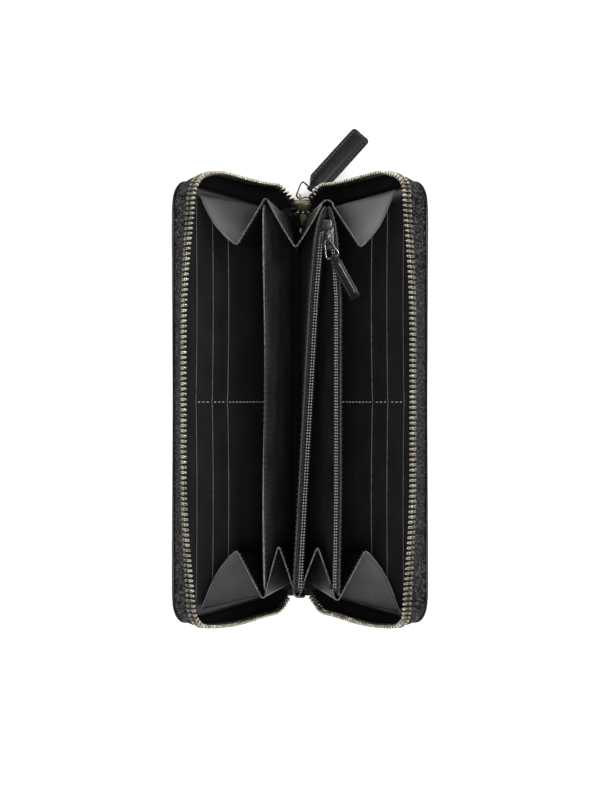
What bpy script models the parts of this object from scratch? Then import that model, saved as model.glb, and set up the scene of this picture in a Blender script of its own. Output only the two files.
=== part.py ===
"""Long zip-around wallet standing open on its spine.

Metres, +Z up. The long side runs along Y, and the covers lean out to -X and +X.
The origin is the centre of the flat underside of the spine.
"""

import math

import bmesh
import bpy
from mathutils import Matrix, Vector

MM = 0.001
GAP = 0.3 * MM
WELD = 0.01 * MM

# Covers, measured from their hinge lines at the two edges of the spine
HINGE_X = 11.0 * MM
HINGE_Z = 1.5 * MM
LEAN = math.radians(27.0)
COVER_HALF = 98.5 * MM
COVER_REACH = 98.0 * MM
COVER_START = 2.0 * MM
CORNER = 12.0 * MM
LEATHER = 1.1 * MM
BOARD = 1.4 * MM
LINING = 0.6 * MM
PANEL_INSET = 2.4 * MM
LAYER_GAP = 0.2 * MM

# Card slots: height of each strip's mouth above the hinge line
SLOT_MOUTHS = (82.5 * MM, 69.8 * MM, 57.3 * MM)
SLOT_FOOT = 14.0 * MM
SLOT_HALF = 92.0 * MM
SLOT_THICK = 0.6 * MM
SLOT_CORNER = 2.0 * MM
SLOT_STEP = 0.8 * MM

# Main zip, whose tape stands square to the cover
ZIP_INSET = 1.3 * MM
ZIP_START = 14.0 * MM
TAPE_THICK = 0.6 * MM
TAPE_TOP = 6.6 * MM
CORD_LOW = 6.9 * MM
CORD_TOP = 8.3 * MM
TOOTH_TIP = 10.25 * MM
TOOTH_THICK = 2.2 * MM
TOOTH_PITCH = 2.4 * MM
TOOTH_WIDTH = 1.3 * MM
CHAIN_Y = COVER_HALF - ZIP_INSET
TAIL_HALF = 2.7 * MM
TAIL_THICK = 1.8 * MM
TAIL_BEND = 3.6 * MM
TAIL_LOW = 3.4 * MM
TAIL_TOPS = (7.6 * MM, 13.0 * MM)

# Leaves that stand between the covers
LEAF_X = 4.0 * MM
LEAF_FOOT = 2.4 * MM
LEAF_THICK = 1.0 * MM
LEAF_TOP = 80.6 * MM
LEAF_HALF = 87.5 * MM
LEAF_CORNER = 4.0 * MM
DIVIDER_LEAN = math.radians(8.8)
COIN_LEAN = math.radians(9.1)

# Skewed left wall of the coin pocket
WALL_HALF = 82.0 * MM
WALL_TOP = 83.5 * MM
WALL_TOP_X = (-3.2 * MM, 5.3 * MM)
WALL_FOOT = 3.0 * MM
WALL_STEPS = 6

# Spine
SPINE_HALF_WIDTH = 11.5 * MM
SPINE_LINING_LOW = (-9.5 * MM, -94.0 * MM, 1.4 * MM)
SPINE_LINING_HIGH = (9.5 * MM, 94.0 * MM, 2.0 * MM)
COIN_FLOOR_LOW = (0.8 * MM, -80.0 * MM, 2.3 * MM)
COIN_FLOOR_HIGH = (3.2 * MM, 80.0 * MM, 2.8 * MM)

# Gussets
GUSSET_THICK = 0.7 * MM
GUSSET_FOOT = 3.2 * MM
GUSSET_TOP = 79.0 * MM
GUSSET_CLEAR = 1.1 * MM
GUSSET_ON_COVER = 76.0 * MM
GUSSET_ON_SLOTS = 4.6 * MM
GUSSET_FOOT_X = 7.4 * MM
GUSSET_STEPS = 4
GUSSET_EDGE = 88.9 * MM
GUSSET_FOOT_EDGE = 91.5 * MM
GUSSET_FOLD = 66.0 * MM
GUSSET_FOOT_FOLD = 72.0 * MM

# Coin zip
COIN_Z = 86.0 * MM
COIN_HALF = 80.0 * MM
COIL_THICK = 1.8 * MM
COIL_X = (13.2 * MM, 14.5 * MM)
COIN_TAPE_X = 14.75 * MM
COIN_TAPE_THICK = 0.5 * MM
WALL_RAIL_END = 62.0 * MM
WALL_TAPE_X = (-0.4 * MM, 1.9 * MM)
WALL_COIL_X = (2.2 * MM, 3.5 * MM)
STOP_X = (12.9 * MM, 14.8 * MM)
STOP_LENGTH = 2.4 * MM
STOP_HALF_HEIGHT = 1.2 * MM
COIN_SLIDER = Vector((12.6 * MM, 72.0 * MM, COIN_Z))

# Sliders: half sizes of the shield, half the space inside, plate, neck, lips and bail
SLIDER_Z = 13.0 * MM
ZIP_SLIDER = {
    "half": 5.0 * MM, "mouth": 4.5 * MM, "tail": 3.7 * MM, "space": 1.4 * MM, "plate_thick": 1.1 * MM,
    "neck": 0.4 * MM, "lip": 1.2 * MM, "bail": (0.55 * MM, 2.9 * MM, 3.2 * MM),
}
COIN_RUNNER = {
    "half": 6.2 * MM, "mouth": 2.7 * MM, "tail": 2.7 * MM, "space": 1.25 * MM, "plate_thick": 0.7 * MM,
    "neck": 0.25 * MM, "lip": 0.6 * MM, "bail": (0.4 * MM, 2.0 * MM, 2.6 * MM),
}
LIP_WIDTH = 0.6 * MM

# Pulls: ring radii and length, ring wire; tab length, neck, width and shoulder, its thickness and bore
PULL_ANCHOR = Vector((0.0, CHAIN_Y + 5.4 * MM, SLIDER_Z))
PULL_RING = (1.7 * MM, 4.0 * MM, 8.0 * MM)
PULL_WIRE = 0.45 * MM
PULL_TAB = (40.0 * MM, 4.4 * MM, 10.6 * MM, 5.5 * MM)
PULL_THICK = 2.4 * MM
PULL_BORE = 0.8 * MM
PULL_YAW = math.radians(45.0)
PULL_DROP = math.radians(12.0)
COIN_PULL_ANCHOR = COIN_SLIDER + Vector((0.0, -2.6 * MM, 2.75 * MM))
COIN_PULL_RING = (1.3 * MM, 2.8 * MM, 8.0 * MM)
COIN_PULL_WIRE = 0.3 * MM
COIN_PULL_TAB = (20.0 * MM, 2.8 * MM, 4.6 * MM, 2.6 * MM)
COIN_PULL_THICK = 1.3 * MM
COIN_PULL_BORE = 0.5 * MM
COIN_PULL_YAW = math.radians(-60.0)
TAB_NECK = 1.7 * MM
TAB_CORNER = 2.0 * MM
RING_CHAMFER = 0.6 * MM

CORNER_STEPS = 6

# Curve objects drawn in their own XY plane, turned to lie in the YZ plane
FACE_X = (math.pi / 2, 0.0, math.pi / 2)


def clear_scene():
    for obj in list(bpy.data.objects):
        bpy.data.objects.remove(obj, do_unlink=True)


def material(name, colour, roughness, metallic=0.0):
    mat = bpy.data.materials.new(name)
    mat.use_nodes = True
    shader = mat.node_tree.nodes["Principled BSDF"]
    shader.inputs["Base Color"].default_value = (*colour, 1.0)
    shader.inputs["Roughness"].default_value = roughness
    shader.inputs["Metallic"].default_value = metallic
    return mat


def finish(obj, mat, parent=None):
    for old in list(obj.users_collection):
        old.objects.unlink(obj)
    wallet.objects.link(obj)
    obj.data.materials.clear()
    obj.data.materials.append(MATERIALS[mat])
    if parent is not None:
        obj.parent = parent
    return obj


def empty(name, place, turn=(0.0, 0.0, 0.0), parent=None):
    obj = bpy.data.objects.new(name, None)
    obj.location = place
    obj.rotation_euler = turn
    obj.parent = parent
    wallet.objects.link(obj)
    return obj


def box(name, mat, low, high, parent=None, bevel=0.0):
    """A block between two corners, its edges rounded by bevel."""
    low = Vector(low)
    high = Vector(high)
    bpy.ops.mesh.primitive_cube_add(size=1.0)
    obj = bpy.context.active_object
    obj.name = name
    obj.data.transform(Matrix.Diagonal((*(high - low), 1.0)))
    obj.location = (low + high) / 2
    if bevel:
        mod = obj.modifiers.new("rounded", "BEVEL")
        mod.width = bevel
        mod.segments = 2
    return finish(obj, mat, parent)


def arc(centre, radius, start, end, steps):
    """Points on an arc, angles in degrees."""
    points = []
    for i in range(steps + 1):
        angle = math.radians(start + (end - start) * i / steps)
        points.append((centre[0] + radius * math.cos(angle), centre[1] + radius * math.sin(angle)))
    return points


def panel_outline(half, foot, top, corner):
    """Upright panel, its two upper corners rounded."""
    points = arc((half - corner, top - corner), corner, 0, 90, CORNER_STEPS)
    points += arc((-half + corner, top - corner), corner, 90, 180, CORNER_STEPS)
    points += [(-half, foot), (half, foot)]
    return points


def plate(name, mat, outline, thick, place, turn=FACE_X, parent=None):
    """A flat outline given thickness, centred on the plane it is placed in."""
    curve = bpy.data.curves.new(name, "CURVE")
    curve.dimensions = "2D"
    curve.fill_mode = "BOTH"
    curve.extrude = thick / 2
    spline = curve.splines.new("POLY")
    spline.points.add(len(outline) - 1)
    for point, co in zip(spline.points, outline):
        point.co = (*co, 0.0, 1.0)
    spline.use_cyclic_u = True
    obj = bpy.data.objects.new(name, curve)
    obj.location = place
    obj.rotation_euler = turn
    return finish(obj, mat, parent)


def wire(name, mat, points, radius, place, turn=(0.0, 0.0, 0.0), parent=None, closed=False):
    """A round wire through points, its ends capped unless it is a closed ring."""
    curve = bpy.data.curves.new(name, "CURVE")
    curve.dimensions = "3D"
    curve.bevel_depth = radius
    curve.bevel_resolution = 2
    curve.use_fill_caps = not closed
    spline = curve.splines.new("POLY")
    spline.points.add(len(points) - 1)
    for point, co in zip(spline.points, points):
        point.co = (*co, 1.0)
    spline.use_cyclic_u = closed
    obj = bpy.data.objects.new(name, curve)
    obj.location = place
    obj.rotation_euler = turn
    return finish(obj, mat, parent)


def as_mesh(obj):
    """The same shape as a mesh object with its caps welded."""
    bpy.context.view_layer.update()
    graph = bpy.context.evaluated_depsgraph_get()
    mesh = bpy.data.meshes.new_from_object(obj.evaluated_get(graph))
    cage = bmesh.new()
    cage.from_mesh(mesh)
    bmesh.ops.remove_doubles(cage, verts=cage.verts, dist=WELD)
    bmesh.ops.recalc_face_normals(cage, faces=cage.faces)
    if cage.calc_volume(signed=True) < 0:
        bmesh.ops.reverse_faces(cage, faces=cage.faces)
    cage.to_mesh(mesh)
    cage.free()
    name = obj.name
    matrix = obj.matrix_world.copy()
    mat = obj.data.materials[0]
    bpy.data.objects.remove(obj, do_unlink=True)
    made = bpy.data.objects.new(name, mesh)
    made.matrix_world = matrix
    mesh.materials.clear()
    mesh.materials.append(mat)
    wallet.objects.link(made)
    return made


def join_all(body, others, operation="UNION"):
    """Joins the others to the body, or cuts them from it, with Boolean modifiers."""
    for other in others:
        for old in list(other.users_collection):
            old.objects.unlink(other)
        cutters.objects.link(other)
        other.hide_render = True
        other.display_type = "WIRE"
        mod = body.modifiers.new(other.name, "BOOLEAN")
        mod.operation = operation
        mod.object = other
    return body


def hang(obj, parent):
    """Parents an object and keeps it where it stands."""
    bpy.context.view_layer.update()
    obj.parent = parent
    obj.matrix_parent_inverse = parent.matrix_world.inverted()
    return obj


def sheet(name, mat, rows, thick, parent=None):
    """A leather sheet through rows of points, thickened about its middle."""
    mesh = bpy.data.meshes.new(name)
    cage = bmesh.new()
    grid = [[cage.verts.new(co) for co in row] for row in rows]
    for lower, upper in zip(grid, grid[1:]):
        for i in range(len(lower) - 1):
            cage.faces.new((lower[i], lower[i + 1], upper[i + 1], upper[i]))
    cage.to_mesh(mesh)
    cage.free()
    obj = bpy.data.objects.new(name, mesh)
    mod = obj.modifiers.new("thickness", "SOLIDIFY")
    mod.thickness = thick
    mod.offset = 0.0
    wallet.objects.link(obj)
    return finish(obj, mat, parent)


def zip_path(inset):
    """The U-shaped line of a zip round three edges of a cover, as (y, reach) points."""
    half = COVER_HALF - inset
    top = COVER_REACH - inset
    corner = CORNER - inset
    points = [(half, ZIP_START)]
    points += arc((half - corner, top - corner), corner, 0, 90, CORNER_STEPS)
    points += arc((-half + corner, top - corner), corner, 90, 180, CORNER_STEPS)
    points.append((-half, ZIP_START))
    return points


def along(path, distance):
    """The point at a distance along a path."""
    for start, end in zip(path, path[1:]):
        step = Vector(end) - Vector(start)
        if distance <= step.length:
            return Vector(start) + step.normalized() * distance
        distance -= step.length
    return Vector(path[-1])


def teeth_comb(name, side, parent):
    """The row of teeth on its cord: a thin comb bent round the edge of the cover, then thickened."""
    path = zip_path(ZIP_INSET)
    length = sum((Vector(b) - Vector(a)).length for a, b in zip(path, path[1:]))
    count = int(length / TOOTH_PITCH)
    margin = (length - (count - 1) * TOOTH_PITCH - TOOTH_WIDTH) / 2
    mesh = bpy.data.meshes.new(name)
    cage = bmesh.new()

    def spot(distance, depth):
        place = along(path, distance)
        return cage.verts.new((-side * depth, place.x, place.y))

    last = None
    for i in range(count):
        edges = []
        for distance in (margin + i * TOOTH_PITCH, margin + i * TOOTH_PITCH + TOOTH_WIDTH):
            edges.append([spot(distance, depth) for depth in (CORD_LOW, CORD_TOP, TOOTH_TIP)])
        start, end = edges
        if last is not None:
            cage.faces.new((last[0], start[0], start[1], last[1]))
        cage.faces.new((start[0], end[0], end[1], start[1]))
        cage.faces.new((start[1], end[1], end[2], start[2]))
        last = end
    cage.to_mesh(mesh)
    cage.free()
    comb = bpy.data.objects.new(name, mesh)
    mod = comb.modifiers.new("thickness", "SOLIDIFY")
    mod.thickness = TOOTH_THICK
    mod.offset = 0.0
    return finish(comb, "gold", parent)


def cover(word, side):
    """One cover: outer leather, board, lining, three card strips and its half of the zip."""
    hinge = empty(word + "_cover_hinge", (side * HINGE_X, 0, HINGE_Z), (0, side * LEAN, 0))

    def layer(name, mat, outline, low, thick):
        middle = -side * (low + thick / 2)
        return plate(word + "_" + name, mat, outline, thick, (middle, 0, 0), FACE_X, hinge)

    depth = -BOARD / 2 - LAYER_GAP - LEATHER
    whole = panel_outline(COVER_HALF, COVER_START, COVER_REACH, CORNER)
    half = COVER_HALF - PANEL_INSET
    inner = panel_outline(half, COVER_START, COVER_REACH - PANEL_INSET, CORNER - PANEL_INSET)
    layer("cover_leather", "leather", whole, depth, LEATHER)
    layer("cover_board", "board", inner, -BOARD / 2, BOARD)
    depth = BOARD / 2 + LAYER_GAP
    layer("cover_lining", "lining", inner, depth, LINING)
    depth += LINING + LAYER_GAP
    for number, mouth in enumerate(SLOT_MOUTHS, 1):
        strip = panel_outline(SLOT_HALF, SLOT_FOOT, mouth, SLOT_CORNER)
        layer("card_slot_" + str(number), "leather", strip, depth, SLOT_THICK)
        depth += SLOT_STEP

    low = -BOARD / 2
    rim = zip_path(ZIP_INSET - TAPE_THICK / 2)
    rim += list(reversed(zip_path(ZIP_INSET + TAPE_THICK / 2)))
    layer("zip_tape", "tape", rim, low, TAPE_TOP - low)
    teeth_comb(word + "_zip_teeth", side, hinge)
    return hinge


def cover_point(side, reach, depth):
    """World x and z of a point on a cover, at a reach above the hinge and a depth inside."""
    x = side * (HINGE_X + reach * math.sin(LEAN) - depth * math.cos(LEAN))
    return x, HINGE_Z + reach * math.cos(LEAN) + depth * math.sin(LEAN)


def gusset(name, end, foot, top, parent=None):
    """A folded gusset. foot and top each hold the x of one edge, the fold and the other
    edge, with their heights; end is +1 or -1 along Y."""
    rows = []
    half = GUSSET_STEPS // 2
    lines = ((foot, GUSSET_FOOT_EDGE, GUSSET_FOOT_FOLD), (top, GUSSET_EDGE, GUSSET_FOLD))
    for level in range(GUSSET_STEPS + 1):
        part = level / GUSSET_STEPS
        row = []
        for column in range(GUSSET_STEPS + 1):
            fold = 1.0 - abs(column - half) / half
            spots = []
            for line, edge, crease in lines:
                near = Vector((line[0][0], edge, line[0][1]))
                middle = Vector((line[1][0], crease, line[1][1]))
                far = Vector((line[2][0], edge, line[2][1]))
                rim = near if column < half else far
                spots.append(rim.lerp(middle, fold))
            spot = spots[0].lerp(spots[1], part)
            row.append((spot.x, end * spot.y, spot.z))
        rows.append(row)
    return sheet(name, "leather", rows, GUSSET_THICK, parent)


def leaf_x(lean, side, height):
    """World x of a leaf's middle at a height, for a leaf hinged at its foot."""
    return side * LEAF_X + math.tan(lean) * (height - LEAF_FOOT)


def gussets():
    """Four folds at each end, from the left cover to the right one."""
    top = GUSSET_TOP
    foot = GUSSET_FOOT
    clear = GUSSET_CLEAR
    ax, az = cover_point(-1, GUSSET_ON_COVER, GUSSET_ON_SLOTS)
    ex, ez = cover_point(1, GUSSET_ON_COVER, GUSSET_ON_SLOTS)
    bx = leaf_x(-DIVIDER_LEAN, -1, top)
    dx = leaf_x(COIN_LEAN, 1, top)
    low = {"a": -GUSSET_FOOT_X, "b": -LEAF_X, "c": 0.0, "d": LEAF_X, "e": GUSSET_FOOT_X}
    for end, word in ((-1, "bottom"), (1, "top")):
        cx = WALL_TOP_X[0] if end < 0 else WALL_TOP_X[1]
        upper = {"a": (ax, az), "b": (bx, top), "c": (cx, top), "d": (dx, top), "e": (ex, ez)}
        for number, pair in enumerate(("ab", "bc", "cd", "de"), 1):
            p, q = pair
            x0 = low[p] + clear
            x1 = low[q] - clear
            px, pz = upper[p]
            qx, qz = upper[q]
            near = (px + clear, pz)
            far = (qx - clear, qz)
            fold = ((px + qx) / 2, top)
            gusset(
                "gusset_" + word + "_" + str(number),
                end,
                ((x0, foot), ((x0 + x1) / 2, foot), (x1, foot)),
                (near, fold, far),
            )


def core():
    """The spine, the coin pocket's floor and the two closed ends of the main chain."""
    low = (-SPINE_HALF_WIDTH, -COVER_HALF, 0)
    box("spine_leather", "leather", low, (SPINE_HALF_WIDTH, COVER_HALF, LEATHER))
    box("spine_lining", "lining", SPINE_LINING_LOW, SPINE_LINING_HIGH)
    box("coin_floor", "lining", COIN_FLOOR_LOW, COIN_FLOOR_HIGH)
    chain_tail("chain_tail_top", 1, TAIL_TOPS[0])
    chain_tail("chain_tail_bottom", -1, TAIL_TOPS[1])


def chain_tail(name, end, top):
    """A closed length of chain that comes down the wallet's end and turns in over the spine."""
    middle = [(CHAIN_Y, top)]
    middle += arc((CHAIN_Y - TAIL_BEND, TAIL_LOW + TAIL_BEND), TAIL_BEND, 0, -90, 5)
    rows = [[(half, end * y, z) for y, z in middle] for half in (-TAIL_HALF, TAIL_HALF)]
    sheet(name, "gold", rows, TAIL_THICK)


def leaves():
    """The divider on the left and the coin pocket's two walls with their zip."""
    hinge = empty("divider_hinge", (-LEAF_X, 0, LEAF_FOOT), (0, -DIVIDER_LEAN, 0))
    outline = panel_outline(LEAF_HALF, GAP, LEAF_TOP - LEAF_FOOT, LEAF_CORNER)
    plate("divider", "leather", outline, LEAF_THICK, (0, 0, 0), FACE_X, hinge)

    coin = empty("coin_wall_hinge", (LEAF_X, 0, LEAF_FOOT), (0, COIN_LEAN, 0))
    outline = panel_outline(LEAF_HALF, GAP, WALL_TOP - LEAF_FOOT, LEAF_CORNER)
    plate("coin_wall_right", "leather", outline, LEAF_THICK, (0, 0, 0), FACE_X, coin)

    low, high = WALL_TOP_X
    rows = []
    for level in range(WALL_STEPS + 1):
        part = level / WALL_STEPS
        height = WALL_FOOT + (WALL_TOP - WALL_FOOT) * part
        row = []
        for column in range(WALL_STEPS + 1):
            share = column / WALL_STEPS
            lean = low + (high - low) * share
            row.append((lean * part, WALL_HALF * (2 * share - 1), height))
        rows.append(row)
    sheet("coin_wall_left", "leather", rows, LEAF_THICK)

    right = leaf_x(COIN_LEAN, 1, WALL_TOP) - WALL_TAPE_X[0]
    run = (-COIN_HALF, COIN_HALF)
    tape = rail("coin_tape_right", "tape", (COIN_TAPE_X, right), (0.0, 0.0), run, COIN_TAPE_THICK)
    coil = rail("coin_coil_right", "coil", COIL_X, (0.0, 0.0), run, COIL_THICK)
    hang(tape, coin)
    hang(coil, coin)
    skew = (low, low + (high - low) * (WALL_RAIL_END + WALL_HALF) / (2 * WALL_HALF))
    run = (-WALL_HALF, WALL_RAIL_END)
    rail("coin_tape_left", "tape", WALL_TAPE_X, skew, run, COIN_TAPE_THICK)
    rail("coin_coil_left", "coil", WALL_COIL_X, skew, run, COIL_THICK)
    end = -COIN_HALF - GAP
    low = (STOP_X[0], end - STOP_LENGTH, COIN_Z - STOP_HALF_HEIGHT)
    high = (STOP_X[1], end, COIN_Z + STOP_HALF_HEIGHT)
    stop = box("coin_stop", "nickel", low, high, None, GAP)
    hang(stop, coin)
    return coin


def rail(name, mat, edges, skew, run, thick):
    """A straight strip along the mouth of the coin pocket, from its two edges in x and its
    two ends in y; skew is the shift in x at each end."""
    inner, outer = edges
    near, far = run
    start, end = skew
    outline = [(inner + start, near), (outer + start, near), (outer + end, far), (inner + end, far)]
    return plate(name, mat, outline, thick, (0, 0, COIN_Z), (0, 0, 0))


def slider_outline(half, mouth, tail):
    """Shield shape of a slider's plate: wide at the mouth, narrower at the tail."""
    return [
        (-mouth, half - 1.6 * MM), (-mouth * 0.6, half), (mouth * 0.6, half), (mouth, half - 1.6 * MM),
        (tail, -half + 0.8 * MM), (tail * 0.7, -half), (-tail * 0.7, -half), (-tail, -half + 0.8 * MM),
    ][::-1]


def slider(name, mat, half, mouth, tail, space, plate_thick, neck, lip, bail):
    """A slider lying in its own XY plane, mouth towards +Y, bail on its +Z side."""
    flat = (0, 0, 0)
    shield = slider_outline(half, mouth, tail)
    rise = space + plate_thick / 2
    body = as_mesh(plate(name, mat, shield, plate_thick, (0, 0, rise), flat))
    pieces = [as_mesh(plate(name + "_under", mat, shield, plate_thick, (0, 0, -rise), flat))]
    post = space + plate_thick / 2
    post_low = (-neck, half - 2.6 * MM, -post)
    pieces.append(box(name + "_neck", mat, post_low, (neck, half - MM, post)))
    for way in (-1, 1):
        for face in (-1, 1):
            edges = sorted((face * lip, face * (space + plate_thick / 2)))
            sides = sorted((way * (tail - LIP_WIDTH), way * tail))
            low = (sides[0], -half + MM, edges[0])
            high = (sides[1], half * 0.2, edges[1])
            pieces.append(box(name + "_lip", mat, low, high))
    radius, height, span = bail
    foot = space + plate_thick / 2
    crown = space + plate_thick + height
    arch = [(0, -span, foot), (0, -span, crown - radius), (0, -span + radius, crown)]
    arch += [(0, span - radius, crown), (0, span, crown - radius), (0, span, foot)]
    pieces.append(as_mesh(wire(name + "_bail", mat, arch, radius, (0, 0, 0))))
    return join_all(body, pieces), pieces


def place_group(body, pieces, matrix):
    for obj in (body, *pieces):
        obj.matrix_world = matrix @ obj.matrix_world


def ring_points(narrow, wide, length):
    """A pear-shaped ring in the XY plane: narrow end round the bail, straight far side."""
    points = [(x, y, 0.0) for x, y in arc((0, 0), narrow, 110, 250, 6)]
    far = length - narrow
    cut = RING_CHAMFER
    points += [(far - cut, -wide, 0.0), (far, -wide + cut, 0.0)]
    points += [(far, wide - cut, 0.0), (far - cut, wide, 0.0)]
    return points


def tab_outline(length, neck, width, shoulder):
    """Leather pull: a narrow neck that widens at the shoulder, and a rounded far end."""
    half = width / 2
    round_at = half - TAB_CORNER
    points = [(-TAB_NECK, -neck / 2), (shoulder, -half)]
    points += arc((length - TAB_CORNER, -round_at), TAB_CORNER, 270, 360, 3)
    points += arc((length - TAB_CORNER, round_at), TAB_CORNER, 0, 90, 3)
    points += [(shoulder, half), (-TAB_NECK, neck / 2)]
    return points


def pull(word, ring_radius, ring, tab, thick, tube, anchor, yaw, drop, parent):
    """A wire ring through the bail and a leather tab folded round the ring's far side."""
    turn = Matrix.Translation(anchor) @ Matrix.Rotation(yaw, 4, "Z") @ Matrix.Rotation(drop, 4, "Y")
    loop = wire(word + "_pull_ring", "nickel", ring_points(*ring), ring_radius, (0, 0, 0), closed=True)
    loop = as_mesh(loop)
    loop.matrix_world = turn
    hang(loop, parent)

    far = ring[2] - ring[0]
    place = Matrix.Translation((far, 0, 0))
    body = as_mesh(plate(word + "_pull_tab", "leather", tab_outline(*tab), thick, (0, 0, 0), (0, 0, 0)))
    bpy.ops.mesh.primitive_cylinder_add(vertices=12, radius=tube, depth=tab[1] * 2)
    bore = bpy.context.active_object
    bore.name = word + "_pull_bore"
    finish(bore, "nickel")
    bore.matrix_world = turn @ place @ Matrix.Rotation(math.pi / 2, 4, "X")
    body.matrix_world = turn @ place
    join_all(body, [bore], "DIFFERENCE")
    hinge = empty(word + "_tab_hinge", turn @ place @ Vector((0, 0, 0)))
    bpy.context.view_layer.update()
    hang(hinge, parent)
    hang(body, hinge)
    hang(bore, hinge)


def build():
    core()
    for word, side in (("left", -1), ("right", 1)):
        cover(word, side)
    coin = leaves()
    gussets()

    stand = Matrix.Translation((0, CHAIN_Y, SLIDER_Z)) @ Matrix.Rotation(math.pi, 4, "Z")
    stand = stand @ Matrix.Rotation(math.pi / 2, 4, "X")
    body, pieces = slider("zip_slider", "gold", **ZIP_SLIDER)
    place_group(body, pieces, stand)
    rider = empty("zip_slider_ride", (0, CHAIN_Y, SLIDER_Z))
    pull(
        "zip", PULL_WIRE, PULL_RING, PULL_TAB, PULL_THICK, PULL_BORE,
        PULL_ANCHOR, PULL_YAW, PULL_DROP, rider,
    )

    flip = Matrix.Translation(COIN_SLIDER) @ Matrix.Rotation(math.pi, 4, "Z")
    body, pieces = slider("coin_slider", "dark_metal", **COIN_RUNNER)
    place_group(body, pieces, flip)
    rider = empty("coin_slider_ride", COIN_SLIDER)
    hang(rider, coin)
    pull(
        "coin", COIN_PULL_WIRE, COIN_PULL_RING, COIN_PULL_TAB, COIN_PULL_THICK, COIN_PULL_BORE,
        COIN_PULL_ANCHOR, COIN_PULL_YAW, 0.0, rider,
    )


clear_scene()
wallet = bpy.data.collections.new("long_wallet")
cutters = bpy.data.collections.new("cutters")
bpy.context.scene.collection.children.link(wallet)
bpy.context.scene.collection.children.link(cutters)
MATERIALS = {
    "leather": material("black_leather", (0.012, 0.012, 0.013), 0.45),
    "lining": material("black_lining", (0.010, 0.010, 0.011), 0.6),
    "board": material("grey_board", (0.18, 0.17, 0.16), 0.8),
    "tape": material("zip_tape", (0.035, 0.035, 0.037), 0.85),
    "gold": material("champagne_metal", (0.72, 0.66, 0.48), 0.28, 1.0),
    "coil": material("black_nylon", (0.015, 0.015, 0.016), 0.4),
    "dark_metal": material("gunmetal", (0.16, 0.16, 0.17), 0.3, 1.0),
    "nickel": material("nickel", (0.66, 0.66, 0.66), 0.2, 1.0),
}
build()
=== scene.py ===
"""Long zip-around wallet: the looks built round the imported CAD."""
import math

import bpy
import numpy as np
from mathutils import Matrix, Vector


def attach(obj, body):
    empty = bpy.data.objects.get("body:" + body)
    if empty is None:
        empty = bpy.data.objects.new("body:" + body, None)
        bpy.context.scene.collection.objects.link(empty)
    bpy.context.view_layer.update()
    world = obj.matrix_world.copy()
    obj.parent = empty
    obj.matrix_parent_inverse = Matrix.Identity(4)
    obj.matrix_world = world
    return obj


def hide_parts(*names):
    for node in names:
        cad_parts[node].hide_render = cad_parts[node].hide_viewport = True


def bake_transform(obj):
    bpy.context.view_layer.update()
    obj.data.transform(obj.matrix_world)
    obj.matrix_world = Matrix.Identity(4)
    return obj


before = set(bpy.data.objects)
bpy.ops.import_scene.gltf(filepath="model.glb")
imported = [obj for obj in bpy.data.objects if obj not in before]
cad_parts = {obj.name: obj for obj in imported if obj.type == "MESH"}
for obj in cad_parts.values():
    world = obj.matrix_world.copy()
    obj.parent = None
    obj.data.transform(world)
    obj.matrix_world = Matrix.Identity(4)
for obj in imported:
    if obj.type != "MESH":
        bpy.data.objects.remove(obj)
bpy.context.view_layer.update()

MM = 0.001

# The covers, leaves and zips, in millimetres as in the CAD
LEAN = math.radians(27.0)
HINGE_X = 11.0
HINGE_Z = 1.5
REACH = 98.0
HALF = 98.5
CORNER = 12.0
OUTER_DEPTH = -1.45
COVER_FOOT = 5.0
LINING_DEPTH = 1.2
ZIP_INSET = 0.9
ZIP_FOOT = 8.0
TIP_DEPTH = 10.6
TAPE_SHARE = 0.66
SLOT_MOUTHS = (82.5, 69.8, 57.3)
SLOT_DEPTHS = (2.0, 2.8, 3.6)
SLOT_HALF = 91.2
SLOT_FOOT = 14.0
LEAF_FOOT = 2.4
LEAF_X = 4.0
DIVIDER_LEAN = math.radians(8.8)
DIVIDER_SHARE = 8.8 / 27.0
COIN_SHARE = 9.1 / 27.0
TOOTH_PITCH = 2.25
COIL_PITCH = 1.27
# The bands' ends at the spine: where the tape is sewn, and where the teeth reach
TOP_ROOT, TOP_MIDDLE = (9.5, 96.4, 9.0), (0.9, 98.2, 17.5)
BOTTOM_ROOT, BOTTOM_MIDDLE = (9.6, -94.5, 4.0), (4.2, -96.0, 9.5)
SIDES = (("left", -1), ("right", 1))


# ---------------------------------------------------------------- small helpers
def smooth(x):
    """Eases 0 to 1."""
    x = np.clip(x, 0.0, 1.0)
    return x * x * (3 - 2 * x)


def unit(v):
    """Vectors of length one."""
    return v / np.maximum(np.linalg.norm(v, axis=-1, keepdims=True), 1e-9)


def mesh_object(name, verts, faces, mats, uv=None):
    """A smooth-shaded mesh object from points in millimetres."""
    mesh = bpy.data.meshes.new(name)
    mesh.from_pydata((np.asarray(verts, float) * MM).tolist(), [], faces)
    for mat in mats:
        mesh.materials.append(mat)
    if uv is not None:
        layer = mesh.uv_layers.new(name="weave")
        index = np.empty(len(mesh.loops), np.int32)
        mesh.loops.foreach_get("vertex_index", index)
        layer.data.foreach_set("uv", np.asarray(uv, np.float32)[index].ravel())
    mesh.shade_smooth()
    obj = bpy.data.objects.new(name, mesh)
    bpy.context.scene.collection.objects.link(obj)
    return obj


def grid_faces(rows, cols, close_rows=False, close_cols=False, base=0):
    """Quads over a grid of points, either way closed into a ring."""
    faces = []
    for i in range(rows if close_rows else rows - 1):
        for j in range(cols if close_cols else cols - 1):
            a = base + i * cols + j
            b = base + i * cols + (j + 1) % cols
            c = base + ((i + 1) % rows) * cols + (j + 1) % cols
            d = base + ((i + 1) % rows) * cols + j
            faces.append((a, b, c, d))
    return faces


def facing(points, outward):
    """Column step that makes a grid's front face look the given way."""
    i, j = points.shape[0] // 2, points.shape[1] // 2
    across = points[i, j] - points[i, j - 1]
    up = points[i, j] - points[i - 1, j]
    return 1 if np.cross(across, up) @ np.asarray(outward, float) > 0 else -1


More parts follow.
